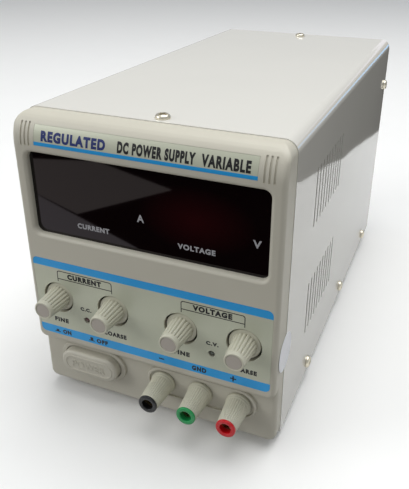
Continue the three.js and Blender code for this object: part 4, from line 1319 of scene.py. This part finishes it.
CAMERA_PLACE = (120.053, -206.337, 225.987)  # in the cabinet's millimetres
CAMERA_YAW = 0.388043
CAMERA_PITCH = 0.444500
CAMERA_ROLL = 0.006899
SENSOR = 36
FOCAL_SHARE = 1.23758  # focal length over the long side of the sensor
SHIFT = (-0.0247, -0.0635)
SKY_ABOVE = (0.36, 0.37, 0.385)
SKY_BELOW = (0.24, 0.235, 0.225)
OVERHEAD_POWER = 24
FRONT_POWER = 9.5
FLOOR_SIZE = 12
TABLE = -4.5  # just above the table, in the cabinet's millimetres
HORIZON = 3000.0  # how far behind the supply the cards stand


def softbox(name, place, target, width, power):
    """A square soft light that looks at a target; both in metres."""
    lamp = bpy.data.lights.new(name, "AREA")
    lamp.size = width
    lamp.energy = power
    made = added(name, lamp)
    made.location = place
    made.rotation_euler = (Vector(target) - Vector(place)).to_track_quat("-Z", "Y").to_euler()


def make_floor():
    """A pale table. The light it throws back at the supply comes from the world instead."""
    deselect()
    bpy.ops.mesh.primitive_plane_add(size=FLOOR_SIZE, location=(0, 0, 0))
    floor = named(bpy.context.object, "floor")
    floor.visible_diffuse = False
    material = surface("matt_table", "f6f6f4", 0.7, grain=40, spread=0.01)
    floor.data.materials.append(material)


def make_card(name, shade, corners, strength=1.0):
    """A flat card that shows only in reflections; its corners are in cabinet millimetres."""
    mesh = bpy.data.meshes.new(name)
    mesh.from_pydata([point(*corner) for corner in corners], [], [range(len(corners))])
    card = added(name, mesh)
    material = bpy.data.materials.new(name)
    material.use_nodes = True
    inputs = shader_of(material).inputs
    inputs["Base Color"].default_value = (0, 0, 0, 1)
    inputs["Specular IOR Level"].default_value = 0
    inputs["Emission Color"].default_value = (*linear(shade), 1)
    inputs["Emission Strength"].default_value = strength
    mesh.materials.append(material)
    card.visible_camera = False
    card.visible_diffuse = False
    card.visible_shadow = False


def table_card(name, shade, height, outline):
    """A card lying on the table."""
    make_card(name, shade, [(x, y, TABLE + height) for x, y in outline])


def wall_card(name, shade, low, high, strength=1.0):
    """A card standing far behind the supply, between two heights."""
    left, right = -200, 1500
    corners = [(left, low), (right, low), (right, high), (left, high)]
    make_card(name, shade, [(x, HORIZON, z) for x, z in corners], strength)


def make_cards():
    """Surroundings that the window, the enamelled side and its bend mirror."""
    far_front = [(-700, -800), (200, -800), (200, -110), (-700, -110)]
    table_card("dark_front", "1d1719", 0, far_front)
    near_front = [(-420, -250), (-230, -304), (-122, -266), (-175, -185), (-234, -207)]
    table_card("grey_table_front", "b9aeac", 0.4, [*near_front, (-420, -280)])
    edge = [(-420, -280), (-96, -151), (-96, -112), (-420, -112)]
    table_card("grey_table_edge", "cdc4ca", 0.4, edge)
    near_edge = [(145, 340), (118, 437), (99, 544), (82, 660), (60, 900), (60, HORIZON)]
    table_card("dark_right", "2a2826", 0, [(700, 335), *near_edge, (700, HORIZON)])
    wall_card("daylight", "8fcbff", -5, 230, 1.5)
    wall_card("dull_wall", "8d8479", 230, 620)
    wall_card("pale_wall", "e6e2f2", 620, 760)


def make_light():
    """Even daylight from above, weaker from below, and two softboxes."""
    world = bpy.data.worlds.new("studio")
    bpy.context.scene.world = world
    world.use_nodes = True
    direction = add_node(world, "ShaderNodeTexCoord").outputs["Generated"]
    up = add_node(world, "ShaderNodeSeparateXYZ", links={0: direction}).outputs["Z"]
    above = add_node(world, "ShaderNodeMapRange", {"From Min": -0.05, "From Max": 0.05}, {0: up})
    sky = shades(world, above.outputs[0], SKY_BELOW, SKY_ABOVE)
    background = world.node_tree.nodes["Background"]
    world.node_tree.links.new(sky, background.inputs["Color"])
    softbox("overhead", (0.25, 0.15, 1.7), (0, 0, 0.1), 1.4, OVERHEAD_POWER)
    softbox("front_left", (-1.3, -0.9, 0.9), (0, 0, 0.08), 0.9, FRONT_POWER)
    bpy.context.scene.view_settings.view_transform = "Standard"


def make_camera():
    """A camera above the front right, looking down at the front."""
    lens = bpy.data.cameras.new("camera")
    made = added("camera", lens)
    made.matrix_world = (
        Matrix.Translation(point(*CAMERA_PLACE))
        @ Matrix.Rotation(CAMERA_YAW, 4, "Z")
        @ Matrix.Rotation(QUARTER - CAMERA_PITCH, 4, "X")
        @ Matrix.Rotation(CAMERA_ROLL, 4, "Z")
    )
    lens.sensor_width = SENSOR
    lens.lens = SENSOR * FOCAL_SHARE
    lens.shift_x, lens.shift_y = SHIFT
    lens.clip_start = 0.01
    lens.clip_end = 50
    bpy.context.scene.camera = made


# --- operators


class SUPPLY_OT_stage(bpy.types.Operator):
    """Adds the floor, the soft light and the camera"""

    bl_idname = "supply.stage"
    bl_label = "Stage"

    def execute(self, context):
        make_floor()
        make_cards()
        make_light()
        make_camera()
        return {"FINISHED"}


class SUPPLY_OT_bezel(bpy.types.Operator):
    """Models the moulded front bezel with its openings"""

    bl_idname = "supply.bezel"
    bl_label = "Front bezel"

    def execute(self, context):
        make_bezel()
        return {"FINISHED"}


class SUPPLY_OT_cover(bpy.types.Operator):
    """Models the folded steel cover with its ventilation slots"""

    bl_idname = "supply.cover"
    bl_label = "Top cover"

    def execute(self, context):
        make_cover()
        return {"FINISHED"}


class SUPPLY_OT_labels(bpy.types.Operator):
    """Models the name strip, the printed words and the blank seal"""

    bl_idname = "supply.labels"
    bl_label = "Labels"

    def execute(self, context):
        make_name_strip()
        make_control_label()
        make_prints()
        make_seal()
        return {"FINISHED"}


class SUPPLY_OT_knobs(bpy.types.Operator):
    """Models the four knobs and their caps"""

    bl_idname = "supply.knobs"
    bl_label = "Knobs"

    def execute(self, context):
        make_knobs()
        return {"FINISHED"}


class SUPPLY_OT_lamps(bpy.types.Operator):
    """Models the two indicator lamps"""

    bl_idname = "supply.lamps"
    bl_label = "Lamps"

    def execute(self, context):
        make_lamps()
        return {"FINISHED"}


class SUPPLY_OT_button(bpy.types.Operator):
    """Models the power button and its raised word"""

    bl_idname = "supply.button"
    bl_label = "Power button"

    def execute(self, context):
        make_button()
        return {"FINISHED"}


class SUPPLY_OT_terminals(bpy.types.Operator):
    """Models the sleeves and coloured tips of the output terminals"""

    bl_idname = "supply.terminals"
    bl_label = "Output terminals"

    def execute(self, context):
        make_terminals()
        return {"FINISHED"}


class SUPPLY_OT_screws(bpy.types.Operator):
    """Models the cover's screws"""

    bl_idname = "supply.screws"
    bl_label = "Cover screws"

    def execute(self, context):
        make_screws()
        return {"FINISHED"}


class SUPPLY_OT_feet(bpy.types.Operator):
    """Models the rubber feet"""

    bl_idname = "supply.feet"
    bl_label = "Feet"

    def execute(self, context):
        make_feet()
        return {"FINISHED"}


class SUPPLY_OT_inlet(bpy.types.Operator):
    """Models the mains inlet"""

    bl_idname = "supply.inlet"
    bl_label = "Mains inlet"

    def execute(self, context):
        make_inlet()
        return {"FINISHED"}


class SUPPLY_OT_kept_pieces(bpy.types.Operator):
    """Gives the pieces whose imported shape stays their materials"""

    bl_idname = "supply.kept_pieces"
    bl_label = "Inner and rear pieces"

    def execute(self, context):
        make_kept_pieces()
        return {"FINISHED"}


OPERATORS = (
    SUPPLY_OT_stage,
    SUPPLY_OT_bezel,
    SUPPLY_OT_cover,
    SUPPLY_OT_labels,
    SUPPLY_OT_knobs,
    SUPPLY_OT_lamps,
    SUPPLY_OT_button,
    SUPPLY_OT_terminals,
    SUPPLY_OT_screws,
    SUPPLY_OT_feet,
    SUPPLY_OT_inlet,
    SUPPLY_OT_kept_pieces,
)


class SUPPLY_PT_panel(bpy.types.Panel):
    """Lists the sizes, the colours and the steps that build the supply"""

    bl_label = "Bench power supply"
    bl_idname = "SUPPLY_PT_panel"
    bl_space_type = "VIEW_3D"
    bl_region_type = "UI"
    bl_category = "Supply"

    def draw(self, context):
        for group in (context.scene.supply_sizes, context.scene.supply_colours):
            column = self.layout.column()
            for name in group.__annotations__:
                column.prop(group, name)
        for operator in OPERATORS:
            self.layout.operator(operator.bl_idname)


CLASSES = (SupplySizes, SupplyColours, *OPERATORS, SUPPLY_PT_panel)


def register():
    for each in CLASSES:
        bpy.utils.register_class(each)
    bpy.types.Scene.supply_sizes = PointerProperty(type=SupplySizes)
    bpy.types.Scene.supply_colours = PointerProperty(type=SupplyColours)


def unregister():
    del bpy.types.Scene.supply_colours
    del bpy.types.Scene.supply_sizes
    for each in reversed(CLASSES):
        bpy.utils.unregister_class(each)


def main():
    register()
    steps = bpy.ops.supply
    steps.stage()
    steps.bezel()
    steps.cover()
    steps.labels()
    steps.knobs()
    steps.lamps()
    steps.button()
    steps.terminals()
    steps.screws()
    steps.feet()
    steps.inlet()
    steps.kept_pieces()
    bpy.context.view_layer.update()


if __name__ == "__main__":
    main()
